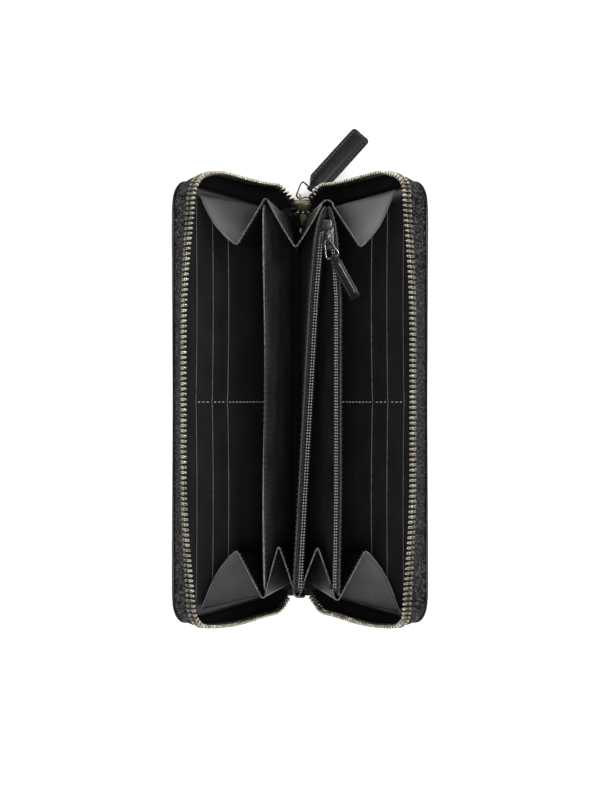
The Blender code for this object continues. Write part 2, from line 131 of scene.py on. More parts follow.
def sheet(name, points, thick, face, rim, uv=None, bevel=0.3, back=None):
    """A sheet through a grid of points: thickened, with rounded edges in a rim material, such as edge paint
    lightened as a painted highlight.
    """
    rows, cols = points.shape[:2]
    flat = points.reshape(-1, 3)
    uv = None if uv is None else uv.reshape(-1, 2)
    obj = mesh_object(name, flat, grid_faces(rows, cols), (face, rim, back or face), uv)
    mod = obj.modifiers.new("thickness", "SOLIDIFY")
    mod.thickness = thick * MM
    mod.offset = 0.0
    mod.use_even_offset = True
    mod.thickness_clamp = 1.0
    mod.material_offset = 2
    mod.material_offset_rim = 1
    if bevel:
        mod = obj.modifiers.new("edge", "BEVEL")
        mod.width = thick * bevel * MM
        mod.segments = 2
        mod.limit_method = "ANGLE"
        mod.angle_limit = math.radians(62)
    return obj


def frames_along(path, closed=False):
    """Unit tangents along a path of points."""
    if closed:
        step = np.roll(path, -1, 0) - np.roll(path, 1, 0)
    else:
        step = np.gradient(path, axis=0)
    return unit(step)


def tube(name, path, radius, mat, closed=False, around=10, squash=1.0, up=(0.0, 0.0, 1.0), uv=None):
    """A round wire along a path, its open ends capped."""
    path = np.asarray(path, float)
    tangent = frames_along(path, closed)
    side = unit(np.cross(np.asarray(up, float), tangent) + 1e-6)
    top = np.cross(tangent, side)
    angle = np.linspace(0, 2 * math.pi, around, endpoint=False)
    radius = np.broadcast_to(np.asarray(radius, float), (len(path),))[:, None, None]
    flat = np.cos(angle)[None, :, None] * side[:, None, :]
    high = squash * np.sin(angle)[None, :, None] * top[:, None, :]
    verts = (path[:, None, :] + radius * (flat + high)).reshape(-1, 3)
    faces = [f[::-1] for f in grid_faces(len(path), around, closed, True)]
    if not closed:
        faces.append(tuple(range(around)))
        faces.append(tuple(range(len(verts) - 1, len(verts) - 1 - around, -1)))
    return mesh_object(name, verts, faces, (mat,), uv)


def run_along(path):
    """Distance travelled at each point of a path."""
    return np.r_[0, np.cumsum(np.linalg.norm(np.diff(path, axis=0), axis=1))]


def point_at(at, run, path):
    """Points of a path at given distances along it."""
    return np.stack([np.interp(at, run, path[:, k]) for k in range(path.shape[1])], -1)


def spread(*parts):
    """Coordinates of any matching shapes as one grid of points."""
    return np.stack(np.broadcast_arrays(*parts), -1)


def resample(path, count):
    """A path as evenly spaced points."""
    path = np.asarray(path, float)
    run = run_along(path)
    return point_at(np.linspace(0, run[-1], count), run, path)


def curve_through(points, count):
    """A smooth Catmull-Rom curve through points."""
    p = np.asarray(points, float)
    p = np.vstack([2 * p[0] - p[1], p, 2 * p[-1] - p[-2]])
    out = []
    for i in range(1, len(p) - 2):
        t = np.linspace(0, 1, 12, endpoint=False)[:, None]
        a, b, c, d = p[i - 1], p[i], p[i + 1], p[i + 2]
        cubic = (3 * b - a - 3 * c + d) * t ** 3
        out.append(0.5 * (2 * b + (c - a) * t + (2 * a - 5 * b + 4 * c - d) * t ** 2 + cubic))
    out.append(p[-2][None])
    return resample(np.vstack(out), count)


def stitches(name, path, normal, mat, pitch=3.0, length=2.1, radius=0.24):
    """A row of thread stitches lying on a seam, each dipping in at its ends."""
    path = np.asarray(path, float)
    normal = np.broadcast_to(np.asarray(normal, float), path.shape)
    run = run_along(path)
    count = max(1, int(run[-1] / pitch))
    share = np.linspace(-1, 1, 5)
    lift = radius * (0.75 - 1.6 * share ** 4)
    size = radius * np.sqrt(np.clip(1.08 - share ** 2, 0.06, 1))
    around = 6
    angle = np.linspace(0, 2 * math.pi, around, endpoint=False)
    verts, faces = [], []
    for i in range(count):
        at = (i + 0.5) * run[-1] / count + share * length / 2
        spine = point_at(at, run, path)
        face = unit(point_at(at, run, normal))
        across = np.cross(face, unit(np.gradient(spine, axis=0)))
        spine = spine + face * lift[:, None]
        ring = np.cos(angle)[None, :, None] * across[:, None] + np.sin(angle)[None, :, None] * face[:, None]
        verts.append((spine[:, None] + ring * size[:, None, None]).reshape(-1, 3))
        first = i * len(share) * around
        last = first + (len(share) - 1) * around
        faces += [f[::-1] for f in grid_faces(len(share), around, False, True, first)]
        faces.append(tuple(range(first, first + around)))
        faces.append(tuple(range(last + around - 1, last - 1, -1)))
    return mesh_object(name, np.vstack(verts), faces, (mat,))


def merge(name, pieces):
    """Several meshes as one object."""
    bpy.ops.object.select_all(action="DESELECT")
    for obj in pieces:
        obj.select_set(True)
    bpy.context.view_layer.objects.active = pieces[0]
    bpy.ops.object.join()
    pieces[0].name = name
    pieces[0].data.name = name
    return pieces[0]


def label(obj, slot, *stands_for):
    """Hides the CAD pieces that a piece stands for; the slot is not used."""
    for node_name in stands_for:
        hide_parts(node_name)


def ride(obj, body, slot, *stands_for):
    """A piece moves with one body."""
    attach(obj, body)
    label(obj, slot, *stands_for)


def bend(obj, a, b, weights, slot, *stands_for):
    """Bakes a piece's placement into its mesh and hides the CAD pieces it stands for; bodies a and b and the
    weights are not used.
    """
    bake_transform(obj)
    label(obj, slot, *stands_for)


def coat(node_name, mat):
    """Gives a CAD piece whose shape stays its better material."""
    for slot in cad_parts[node_name].material_slots:
        slot.link = "OBJECT"
        slot.material = mat


def points_of(obj):
    """A mesh's points in millimetres."""
    co = np.empty(len(obj.data.vertices) * 3, np.float32)
    obj.data.vertices.foreach_get("co", co)
    return co.reshape(-1, 3).astype(float) / MM


# ---------------------------------------------------------------- materials
def node(tree, kind, **values):
    """A shader node with its inputs or settings filled in."""
    made = tree.nodes.new(kind)
    for key, value in values.items():
        if key in made.inputs:
            made.inputs[key].default_value = value
        else:
            setattr(made, key, value)
    return made


def material(name, colour, roughness, metallic=0.0):
    """A material with its node tree and shader."""
    mat = bpy.data.materials.new(name)
    mat.use_nodes = True
    shader = mat.node_tree.nodes["Principled BSDF"]
    shader.inputs["Base Color"].default_value = (*colour, 1)
    shader.inputs["Roughness"].default_value = roughness
    shader.inputs["Metallic"].default_value = metallic
    return mat, mat.node_tree, shader


def math_node(tree, kind, *values):
    """A math node; each value is a number or another node's output."""
    made = tree.nodes.new("ShaderNodeMath")
    made.operation = kind
    for socket, value in zip(made.inputs, values):
        if isinstance(value, (int, float)):
            socket.default_value = value
        else:
            tree.links.new(value, socket)
    return made.outputs[0]


def times(tree, a, b):
    """Product of two values."""
    return math_node(tree, "MULTIPLY", a, b)


def plus(tree, a, b):
    """Sum of two values."""
    return math_node(tree, "ADD", a, b)


def texture(tree, kind, place, **values):
    """A texture node read at the given place."""
    made = node(tree, "ShaderNodeTex" + kind, **values)
    tree.links.new(place, made.inputs["Vector"])
    return made


def map_range(tree, value, low, high, new_low=0.0, new_high=1.0):
    """A value's range stretched onto another."""
    made = node(tree, "ShaderNodeMapRange")
    names = ("From Min", "From Max", "To Min", "To Max")
    for name, number in zip(names, (low, high, new_low, new_high)):
        made.inputs[name].default_value = number
    tree.links.new(value, made.inputs["Value"])
    return made.outputs["Result"]


def vary(tree, place, scale, low, high):
    """Noise mapped to a range of values."""
    noise = texture(tree, "Noise", place, Scale=scale, Detail=3.0)
    return map_range(tree, noise.outputs["Fac"], 0.3, 0.7, low, high)


def tint(tree, shader, tone, dark, light):
    """Base colour between two tones."""
    mix = node(tree, "ShaderNodeMix", data_type="RGBA")
    tree.links.new(tone, mix.inputs[0])
    mix.inputs[6].default_value = (*dark, 1)
    mix.inputs[7].default_value = (*light, 1)
    tree.links.new(mix.outputs[2], shader.inputs["Base Color"])


def add_bump(tree, shader, height, strength, distance):
    """Bump from a height, at a distance in millimetres."""
    bump = node(tree, "ShaderNodeBump", Strength=strength, Distance=distance * MM)
    tree.links.new(height, bump.inputs["Height"])
    tree.links.new(bump.outputs["Normal"], shader.inputs["Normal"])


def wave(tree, value, turns):
    """Sine of a value, its angle grown by the given factor."""
    return math_node(tree, "SINE", times(tree, value, turns))


def leather(name, dark, light, rough, grain, depth, coat=0.0, shine=0.5):
    """Black leather: pebble grain with fine pores, creases, and uneven polish."""
    mat, tree, shader = material(name, dark, rough)
    place = node(tree, "ShaderNodeTexCoord").outputs["Object"]
    cells = texture(tree, "Voronoi", place, Scale=grain, feature="SMOOTH_F1").outputs["Distance"]
    pores = texture(tree, "Noise", place, Scale=grain * 2.6, Detail=4.0, Roughness=0.65)
    folds = texture(tree, "Noise", place, Scale=grain * 0.12, Detail=3.0, Distortion=0.6)
    height = plus(tree, times(tree, cells, 0.7), times(tree, pores.outputs["Fac"], 0.5))
    height = plus(tree, height, times(tree, folds.outputs["Fac"], 1.6))
    add_bump(tree, shader, height, 0.55, depth)
    polish = vary(tree, place, 38.0, rough - 0.05, rough + 0.08)
    tree.links.new(plus(tree, polish, times(tree, cells, 0.08)), shader.inputs["Roughness"])
    tone = vary(tree, place, 55.0, 0.0, 1.0)
    tint(tree, shader, tone, dark, light)
    shader.inputs["Specular IOR Level"].default_value = shine
    shader.inputs["Coat Weight"].default_value = coat
    shader.inputs["Coat Roughness"].default_value = rough * 0.7
    return mat


def woven(name, dark, light, rib, chevron, lint, low, high):
    """Zip tape: herringbone twill, from the piece's own length and width in millimetres."""
    mat, tree, shader = material(name, dark, 0.8)
    uv = node(tree, "ShaderNodeUVMap", uv_map="weave").outputs["UV"]
    parts = node(tree, "ShaderNodeSeparateXYZ")
    tree.links.new(uv, parts.inputs[0])
    along, across = parts.outputs[0], parts.outputs[1]
    zig = math_node(tree, "FRACT", math_node(tree, "DIVIDE", across, chevron))
    zig = math_node(tree, "ABSOLUTE", math_node(tree, "SUBTRACT", zig, 0.5))
    weft = plus(tree, math_node(tree, "DIVIDE", along, rib), times(tree, zig, 2.4))
    weft = wave(tree, weft, 2 * math.pi)
    warp = wave(tree, across, 2 * math.pi / 0.42)
    height = plus(tree, times(tree, weft, 0.5), times(tree, warp, 0.22))
    place = node(tree, "ShaderNodeTexCoord").outputs["Object"]
    fuzz = texture(tree, "Noise", place, Scale=lint, Detail=2.0)
    height = plus(tree, height, times(tree, fuzz.outputs["Fac"], 3.4))
    add_bump(tree, shader, height, 0.8, 0.1)
    tone = map_range(tree, height, low, high)
    tint(tree, shader, tone, dark, light)
    shader.inputs["Specular IOR Level"].default_value = 0.15
    return mat


def plain_cloth(name, dark, light, pitch):
    """Plain-woven lining cloth."""
    mat, tree, shader = material(name, dark, 0.75)
    parts = node(tree, "ShaderNodeSeparateXYZ")
    tree.links.new(node(tree, "ShaderNodeTexCoord").outputs["Object"], parts.inputs[0])
    turns = 2 * math.pi / (pitch * MM)
    height = times(tree, wave(tree, parts.outputs[1], turns), wave(tree, parts.outputs[2], turns))
    add_bump(tree, shader, height, 0.5, 0.05)
    tone = map_range(tree, height, -1.0, 1.0)
    tint(tree, shader, tone, dark, light)
    shader.inputs["Specular IOR Level"].default_value = 0.2
    return mat


def metal(name, colour, shade, rough):
    """Plated metal: polish that varies, fine scratches and darker handled patches."""
    mat, tree, shader = material(name, colour, rough, 1.0)
    place = node(tree, "ShaderNodeTexCoord").outputs["Object"]
    tree.links.new(vary(tree, place, 700.0, rough * 0.7, rough * 1.6), shader.inputs["Roughness"])
    tone = vary(tree, place, 260.0, 0, 1)
    tint(tree, shader, tone, colour, shade)
    marks = texture(tree, "Noise", place, Scale=900.0, Detail=5.0, Roughness=0.7, Distortion=1.5)
    add_bump(tree, shader, marks.outputs["Fac"], 0.12, 0.05)
    return mat


def satin(name, colour, light, rough, scale, depth):
    """Nylon, thread, board, edge paint lightened as a painted highlight, and pale painted glints: two near
    tones with a fine uneven surface.
    """
    mat, tree, shader = material(name, colour, rough)
    place = node(tree, "ShaderNodeTexCoord").outputs["Object"]
    tone = vary(tree, place, scale * 0.3, 0, 1)
    tint(tree, shader, tone, colour, light)
    tree.links.new(vary(tree, place, scale * 0.5, rough - 0.08, rough + 0.1), shader.inputs["Roughness"])
    bumps = texture(tree, "Noise", place, Scale=scale, Detail=4.0)
    add_bump(tree, shader, bumps.outputs["Fac"], 0.4, depth)
    return mat


DEEP_BLACK = (0.003, 0.003, 0.0032)
GUSSET_TONE = (0.007, 0.007, 0.0073)
# Leather of the divider and the coin pocket's walls. Its colour is lifted far above the outer leather's to
# stand in for the sheen inside the wallet: painted sheen.
SHEEN_LIT_HIDE = leather("wallet_leather_painted_sheen", (0.026, 0.026, 0.0264), (0.058, 0.058, 0.0585), 0.42, 1500.0, 0.08, 0.05)
OUTER_HIDE = leather("outer_leather", DEEP_BLACK, (0.008, 0.008, 0.0083), 0.40, 640.0, 0.24, 0.0, 0.3)
GUSSET_HIDE = leather("gusset_leather", DEEP_BLACK, GUSSET_TONE, 0.34, 1700.0, 0.05, 0.1)
# A less shiny copy of the gusset leather, without coat, for the bottom end's gussets, which it makes darker:
# painted shade.
SHADED_GUSSET_HIDE = leather("shaded_gusset_leather", DEEP_BLACK, GUSSET_TONE, 0.36, 1700.0, 0.05, 0.0, 0.12)
# Leather of the card strips and inner panels. Its colour is lifted above the outer leather's to stand in for
# light inside the wallet: painted light.
LIT_SLOT_HIDE = leather("slot_leather_painted_light", (0.009, 0.009, 0.0093), (0.014, 0.014, 0.0144), 0.45, 1500.0, 0.05, 0.0)
PULL_HIDE = leather("pull_leather", (0.002, 0.002, 0.0021), (0.005, 0.005, 0.0052), 0.22, 1100.0, 0.06, 0.2)
# Edge paint made mid grey so that thin edges show a light line, as their highlight does: partly edge paint,
# partly painted highlight.
EDGE_PAINT_AND_HIGHLIGHT = satin("edge_paint_and_highlight", (0.035, 0.035, 0.036), (0.125, 0.125, 0.126), 0.42, 2600.0, 0.06)
DARK_EDGE = satin("dark_edge", (0.025, 0.025, 0.026), (0.05, 0.05, 0.05), 0.42, 2600.0, 0.04)
# Near-black lining cloth. It also goes on the zip tapes' back faces, darkened to stand in for their shade
# there: partly lining, partly painted shade.
LINING_AND_SHADE = plain_cloth("black_lining", (0.002, 0.002, 0.0022), (0.006, 0.006, 0.0063), 0.5)
TAPE = woven("zip_tape_twill", (0.002, 0.002, 0.002), (0.15, 0.15, 0.153), 1.0, 2.1, 1100.0, 1.95, 2.75)
COIN_TAPE = woven("coin_tape_twill", (0.006, 0.006, 0.006), (0.022, 0.022, 0.023), 0.6, 1.2, 1500.0, 1.0, 2.6)
GOLD = metal("champagne_plate", (0.86, 0.82, 0.71), (0.38, 0.34, 0.25), 0.19)
# A darker copy of the plating for the teeth's hollows: painted shade.
RECESS_SHADE = metal("tooth_recess_painted_shade", (0.30, 0.27, 0.19), (0.15, 0.13, 0.085), 0.4)
BRASS = metal("slider_brass", (0.40, 0.36, 0.27), (0.24, 0.21, 0.145), 0.42)
NICKEL = metal("nickel_wire", (0.72, 0.72, 0.70), (0.50, 0.50, 0.49), 0.14)
# A darker copy of the nickel wire for the main pull's ring: painted shade.
SHADED_NICKEL = metal("shaded_nickel_wire", (0.16, 0.16, 0.16), (0.09, 0.09, 0.09), 0.2)
GUNMETAL = metal("gunmetal_plate", (0.20, 0.20, 0.205), (0.09, 0.09, 0.093), 0.26)
NYLON = satin("black_nylon", (0.012, 0.012, 0.013), (0.022, 0.022, 0.023), 0.3, 1800.0, 0.02)
THREAD = satin("black_thread", (0.02, 0.02, 0.021), (0.05, 0.05, 0.051), 0.5, 4200.0, 0.06)
SEAM_THREAD = satin("dark_grey_thread", (0.04, 0.04, 0.041), (0.08, 0.08, 0.081), 0.5, 4200.0, 0.06)
# Light grey thread. On the coin coil its rows are lightened to stand in for the coil's highlights: partly
# thread, partly painted highlight.
GREY_THREAD_AND_HIGHLIGHT = satin("grey_thread", (0.18, 0.18, 0.18), (0.34, 0.34, 0.34), 0.5, 4200.0, 0.06)
# Pale matte dots where the metal shows bright glints: painted highlight.
PALE_GLINT = satin("pale_painted_glint", (0.48, 0.46, 0.40), (0.66, 0.64, 0.57), 0.35, 2600.0, 0.04)
TONGUE = satin("olive_tongue", (0.052, 0.048, 0.034), (0.10, 0.092, 0.065), 0.36, 900.0, 0.08)
BOARD = satin("grey_board", (0.30, 0.28, 0.25), (0.38, 0.36, 0.32), 0.85, 1600.0, 0.05)


# ---------------------------------------------------------------- the covers' shape
def on_cover(side, y, reach, depth):
    """World points from a place along the cover, a height up it and a depth into the wallet."""
    x = side * (HINGE_X + reach * math.sin(LEAN) - depth * math.cos(LEAN))
    return spread(x, y, HINGE_Z + reach * math.cos(LEAN) + depth * math.sin(LEAN))


def inward(side):
    """Direction from a cover straight into the wallet."""
    return np.array([-side * math.cos(LEAN), 0.0, math.sin(LEAN)])


def half_width(reach, half, top, corner):
    """Half width of a panel with rounded upper corners at a height."""
    over = np.clip(reach - (top - corner), 0, corner)
    return half - corner + np.sqrt(np.maximum(corner ** 2 - over ** 2, 0))


def corner_rows(foot, top, corner, low_rows, high_rows):
    """Heights of a panel's rows, closer together round its upper corners."""
    low = np.linspace(foot, top - corner, low_rows, endpoint=False)
    turn = np.linspace(0, math.pi / 2, high_rows)
    return np.r_[low, top - corner + corner * np.sin(turn)]


def outer_depth(side, y, reach):
    """Depth of the outer leather: gently padded, and rolled in at its rim."""
    half = half_width(reach, HALF, REACH, CORNER)
    tall = REACH - COVER_FOOT
    u = y / half
    v = (reach - COVER_FOOT) / tall
    pad = smooth((1 - np.abs(u)) / 0.07) * smooth((1 - v) / 0.1)
    ripple = 0.12 * np.sin(u * 7.0 + 1.3 * side) * np.sin(v * 5.0 + 0.4)
    near = np.minimum((1 - np.abs(u)) * half, (1 - v) * tall)
    roll = (1 - smooth(near / 4.5)) * smooth((reach - COVER_FOOT) / 12.0)
    return OUTER_DEPTH - (0.5 + ripple) * pad + 1.15 * roll


def outer_leather(word, side):
    """Outer leather: from the middle of the spine, round its edge and up the cover."""
    under = 0.56
    flat = np.stack([np.linspace(0, 9.5, 6, endpoint=False), np.full(6, under)], 1)
    rise = on_cover(1, 0, COVER_FOOT, OUTER_DEPTH)[[0, 2]]
    lead = rise - 3.0 * np.array([math.sin(LEAN), math.cos(LEAN)])
    start, pull = np.array([9.5, under]), np.array([12.4, under])
    t = np.linspace(0, 1, 12, endpoint=False)[:, None]
    turn = (1 - t) ** 3 * start + 3 * (1 - t) ** 2 * t * pull + 3 * (1 - t) * t * t * lead + t ** 3 * rise
    reach = corner_rows(COVER_FOOT, REACH, CORNER, 34, 16)
    edge = 1 - np.array([0, 0.006, 0.014, 0.024, 0.036, 0.05])
    u = np.r_[-edge, np.linspace(-0.93, 0.93, 78), edge[::-1]]
    lower = [spread(side * x, HALF * u, z) for x, z in np.vstack([flat, turn])]
    y = half_width(reach, HALF, REACH, CORNER)[:, None] * u[None, :]
    upper = on_cover(side, y, reach[:, None], outer_depth(side, y, reach[:, None]))
    points = np.concatenate([np.array(lower), upper])
    weights = np.r_[np.zeros(6), smooth(np.linspace(0, 0.9, 12)), np.ones(len(reach))]
    obj = sheet(word + "_outer_leather", points[:, ::-side], 1.1, OUTER_HIDE, DARK_EDGE)
    stands_for = [word + "_cover_leather"] + (["spine_leather"] if side < 0 else [])
    bend(obj, "core", word + "_cover", np.repeat(weights, len(u)), "leather", *stands_for)


def rounded_line(inset, count):
    """Line round three edges of a cover and inside them, as (y, height) points."""
    half, top, corner = HALF - inset, REACH - inset, CORNER - inset
    turn = np.linspace(0, math.pi / 2, 12)
    a = np.stack([half - corner + corner * np.cos(turn), top - corner + corner * np.sin(turn)], 1)
    b = a[::-1] * np.array([-1, 1])
    return resample(np.vstack([[[half, ZIP_FOOT]], a, b, [[-half, ZIP_FOOT]]]), count)


def card_strip(word, side, number, mouth, depth):
    """One card strip: slack over its two pockets, held down at its middle seam and hem."""
    u = np.linspace(-1, 1, 73)
    v = np.r_[np.linspace(0, 0.9, 16), np.linspace(0.93, 1, 7)]
    pocket = np.sin(math.pi * np.clip(np.abs(u), 0, 1))
    slack = (0.16 + 0.1 * number) * (pocket ** 0.6)[None, :] * smooth(v * 1.2)[:, None]
    hem = -0.10 * np.exp(-((v - 0.965) / 0.012) ** 2)[:, None]
    seam = -0.25 * np.exp(-(u * SLOT_HALF / 1.1) ** 2)[None, :]
    dip = 0.35 * pocket ** 2 * (1 if side < 0 else 0.7)
    top = mouth - dip[None, :] * smooth((v - 0.5) * 2)[:, None]
    reach = SLOT_FOOT + (top - SLOT_FOOT) * v[:, None]
    points = on_cover(side, SLOT_HALF * u[None, :], reach, depth + slack + hem + seam)
    name = "_" + str(number)
    strip = sheet(word + "_slot_strip" + name, points[:, ::side], 0.5, LIT_SLOT_HIDE, EDGE_PAINT_AND_HIGHLIGHT)
    ride(strip, word + "_cover", "leather", word + "_card_slot" + name)


def cover_panels(word, side):
    """Inside of a cover: its panel, card strips and seams, and the seam round its outer leather."""
    body = word + "_cover"
    top, half, corner = 95.6, 96.0, 9.6
    reach = corner_rows(3.0, top, corner, 28, 9)
    y = half_width(reach, half, top, corner)[:, None] * np.linspace(-1, 1, 60)[None, :]
    points = on_cover(side, y, reach[:, None], LINING_DEPTH)
    lining = sheet(word + "_inner_panel", points[:, ::side], 0.6, LIT_SLOT_HIDE, DARK_EDGE)
    ride(lining, body, "leather", word + "_cover_lining")
    seams = []
    feet = (SLOT_MOUTHS[1] + 1.0, SLOT_MOUTHS[2] + 1.0, SLOT_FOOT + 1.0)
    for number, (mouth, depth, foot) in enumerate(zip(SLOT_MOUTHS, SLOT_DEPTHS, feet), 1):
        card_strip(word, side, number, mouth, depth)
        count = 40 if number == 3 else 20
        line = on_cover(side, 0, np.linspace(foot, mouth - 0.6, count), depth + 0.2)
        name = word + "_slot_seam_" + str(number)
        seams.append(stitches(name, line, inward(side), GREY_THREAD_AND_HIGHLIGHT, 3.0, 1.4, 0.3))
    y, reach = rounded_line(3.4, 400).T
    rim = on_cover(side, y, reach, outer_depth(side, y, reach) - 0.58)
    seams.append(stitches(word + "_outer_seam", rim, -inward(side), SEAM_THREAD, 3.2, 2.3, 0.27))
    for seam in seams:
        ride(seam, body, "leather")
    coat(word + "_cover_board", BOARD)


# ---------------------------------------------------------------- main zip
# How far the end bands lean out, at shares of the way up the cover
BOW_AT = (0, 0.06, 0.12, 0.2, 0.3, 0.44, 0.6, 0.75, 0.85, 1.0)
BOW_TOP = (9.0, 9.3, 8.7, 7.9, 7.2, 6.7, 6.4, 6.2, 5.0, 0.5)
BOW_BOTTOM = (3.5, 5.4, 5.9, 5.4, 5.1, 5.3, 5.0, 3.9, 2.8, 0.5)


def bow_out(side, y, reach):
    """How far the zip leans out beyond the cover's edge at its teeth."""
    long_edge = (5.9 - 0.6 * side) * np.sin(math.pi / 2 * np.clip((88 - np.abs(y)) / 58, 0, 1))
    share = np.clip((reach - 8.0) / 85.0, 0, 1)
    ends = np.where(y > 0, np.interp(share, BOW_AT, BOW_TOP), np.interp(share, BOW_AT, BOW_BOTTOM))
    return np.where(np.abs(y) > 90, ends, long_edge)


class Rim:
    """The free edge of one cover's zip: a band of tape with teeth, from end to end."""

    def __init__(self, side):
        self.side = side
        self.line = rounded_line(ZIP_INSET, 1500)
        self.at = run_along(self.line)
        self.length = self.at[-1]
        tangent = frames_along(self.line)
        self.normal = np.stack([tangent[:, 1], -tangent[:, 0]], 1)
        lean = bow_out(side, self.line[:, 0], self.line[:, 1])
        kernel = np.hanning(97)
        self.bow = np.convolve(np.pad(lean, 48, mode="edge"), kernel / kernel.sum(), "valid")

    def weight(self, distance):
        """Share of the cover's turn that the band follows, growing from its ends."""
        reach = np.interp(distance, self.at, self.line[:, 1])
        return smooth((reach - ZIP_FOOT) / 10.5)

    def point(self, distance, share):
        """World point at a distance along the band and a share across it (0 sewn, 1 tooth tips)."""
        distance, share = np.broadcast_arrays(np.asarray(distance, float), np.asarray(share, float))
        known = (*self.line.T, *self.normal.T, self.bow)
        y, reach, ny, ns, bow = (np.interp(distance, self.at, values) for values in known)
        ends = smooth((np.abs(y) - 88.0) / 8.0)
        rise = share ** 1.25 * (1 - ends) + 0.86 * np.sin(np.clip(share / 0.62, 0, 1) * math.pi / 2) * ends
        bow = bow * rise * TIP_DEPTH / 9.0
        deep = TIP_DEPTH + 0.65 * (1 + self.side) * (1 - ends)
        body = on_cover(self.side, y + ny * bow, reach + ns * bow, deep * share)
        top = (distance < self.length / 2)[..., None]
        mirror = np.array([self.side, 1, 1])
        root = np.where(top, mirror * TOP_ROOT, mirror * BOTTOM_ROOT)
        tip = np.where(top, mirror * TOP_MIDDLE, mirror * BOTTOM_MIDDLE)
        spine = root + (tip - root) * share[..., None]
        return spine + (body - spine) * self.weight(distance)[..., None]


TOOTH = (  # along the tooth, half width, half thickness
    (-1.95, 0.34, 0.55), (-1.8, 0.60, 0.98), (-1.35, 0.68, 1.16), (-0.75, 0.66, 1.14), (-0.3, 0.50, 0.80),
    (0.1, 0.47, 0.70), (0.45, 0.60, 0.92), (0.9, 0.70, 1.10), (1.4, 0.68, 1.02), (1.75, 0.52, 0.78),
    (1.92, 0.26, 0.40),
)
TOOTH_SIDES = 12


def tooth_block():
    """One tooth in its own frame: legs clamped on the cord, a waist, and a rounded head."""
    angle = np.linspace(0, 2 * math.pi, TOOTH_SIDES, endpoint=False)
    c, s = np.cos(angle), np.sin(angle)
    round_c = np.sign(c) * np.abs(c) ** 0.5
    round_s = np.sign(s) * np.abs(s) ** 0.5
    verts = []
    for along, wide, thick in TOOTH:
        cup = 1 - 0.5 * smooth((along + 0.9) / 0.5) * smooth((1.45 - along) / 0.4) * (np.abs(c) < 0.1)
        verts.append(spread(wide * round_c, along, thick * round_s * cup))
    faces = grid_faces(len(TOOTH), TOOTH_SIDES, False, True)
    faces.append(tuple(range(TOOTH_SIDES - 1, -1, -1)))
    last = (len(TOOTH) - 1) * TOOTH_SIDES
    faces.append(tuple(range(last, last + TOOTH_SIDES)))
    return np.vstack(verts), faces


def row_of_teeth(name, places, *mats):
    """Teeth as one mesh, each at (middle, along the row, towards its tip, scale); a second,
    darker material on their recesses is painted shade."""
    block_verts, block_faces = tooth_block()
    verts, faces = [], []
    for i, (middle, flow, head, scale) in enumerate(places):
        verts.append(middle + (block_verts * scale) @ np.stack([flow, head, np.cross(flow, head)]))
        faces += [tuple(i * len(block_verts) + k for k in f) for f in block_faces]
    teeth = mesh_object(name, np.vstack(verts), faces, mats)
    if len(mats) > 1:
        spots = [divmod(k, TOOTH_SIDES) for k in range(len(block_faces))]
        # The teeth's hollow faces take the darker second material: painted shade.
        recess = [2 <= level <= 6 and turn in (2, 3, 8, 9) for level, turn in spots]
        index = np.tile(np.array(recess, np.int32), len(places))
        teeth.data.polygons.foreach_set("material_index", index)
    return teeth


def zip_side(word, side):
    """One cover's zip: tape, cord and the row of teeth clamped to it."""
    rim = Rim(side)
    body = word + "_cover"
    along = np.linspace(0, rim.length, 260)
    across = np.linspace(0.0, TAPE_SHARE + 0.05, 7)
    points = rim.point(along[:, None], across[None, :])
    uv = spread(along[:, None], across[None, :] * 11.0)
    step = facing(points, (0, 0, 1))
    # The tape's back face takes the near-black lining: painted shade.
    tape = sheet(word + "_zip_tape_band", points[:, ::step], 0.55, TAPE, TAPE, uv[:, ::step], 0, LINING_AND_SHADE)
    weights = rim.weight(along)
    bend(tape, "core", body, np.repeat(weights, len(across)), "tape", word + "_zip_tape")

    path = rim.point(along, TAPE_SHARE + 0.07)
    around = 8
    uv = spread(along[:, None], np.linspace(0, 3, around)[None, :]).reshape(-1, 2)
    cord = tube(word + "_zip_cord", path, 0.62, TAPE, up=(0.3, 0.2, 1.0), around=around, uv=uv)
    bend(cord, "core", body, np.repeat(weights, around), "tape")

    clamp = 0.83  # share of the way across where the teeth grip the cord
    dense = np.linspace(0, rim.length, 1200)
    run = run_along(rim.point(dense, clamp))
    count = int(run[-1] / TOOTH_PITCH)
    first = 1.0 if side > 0 else 0.5
    spots = np.interp((np.arange(count - 1) + first) * TOOTH_PITCH, run, dense)
    places = []
    for spot in spots:
        head = unit(rim.point(spot, 1.0) - rim.point(spot, 0.6))
        flow = unit(rim.point(spot + 0.5, clamp) - rim.point(spot - 0.5, clamp))
        flow = unit(flow - head * (flow @ head))
        places.append((rim.point(spot, clamp), flow, head, 1))
    teeth = row_of_teeth(word + "_zip_tooth_row", places, GOLD, RECESS_SHADE)
    weights = np.repeat(rim.weight(spots), len(teeth.data.vertices) // len(spots))
    bend(teeth, "core", body, weights, "gold", word + "_zip_teeth")


# ---------------------------------------------------------------- leaves
def leaf_point(lean, side, y, up):
    """World points on a leaf hinged at its foot."""
    return spread(side * LEAF_X + math.sin(lean) * up, y, LEAF_FOOT + math.cos(lean) * up)


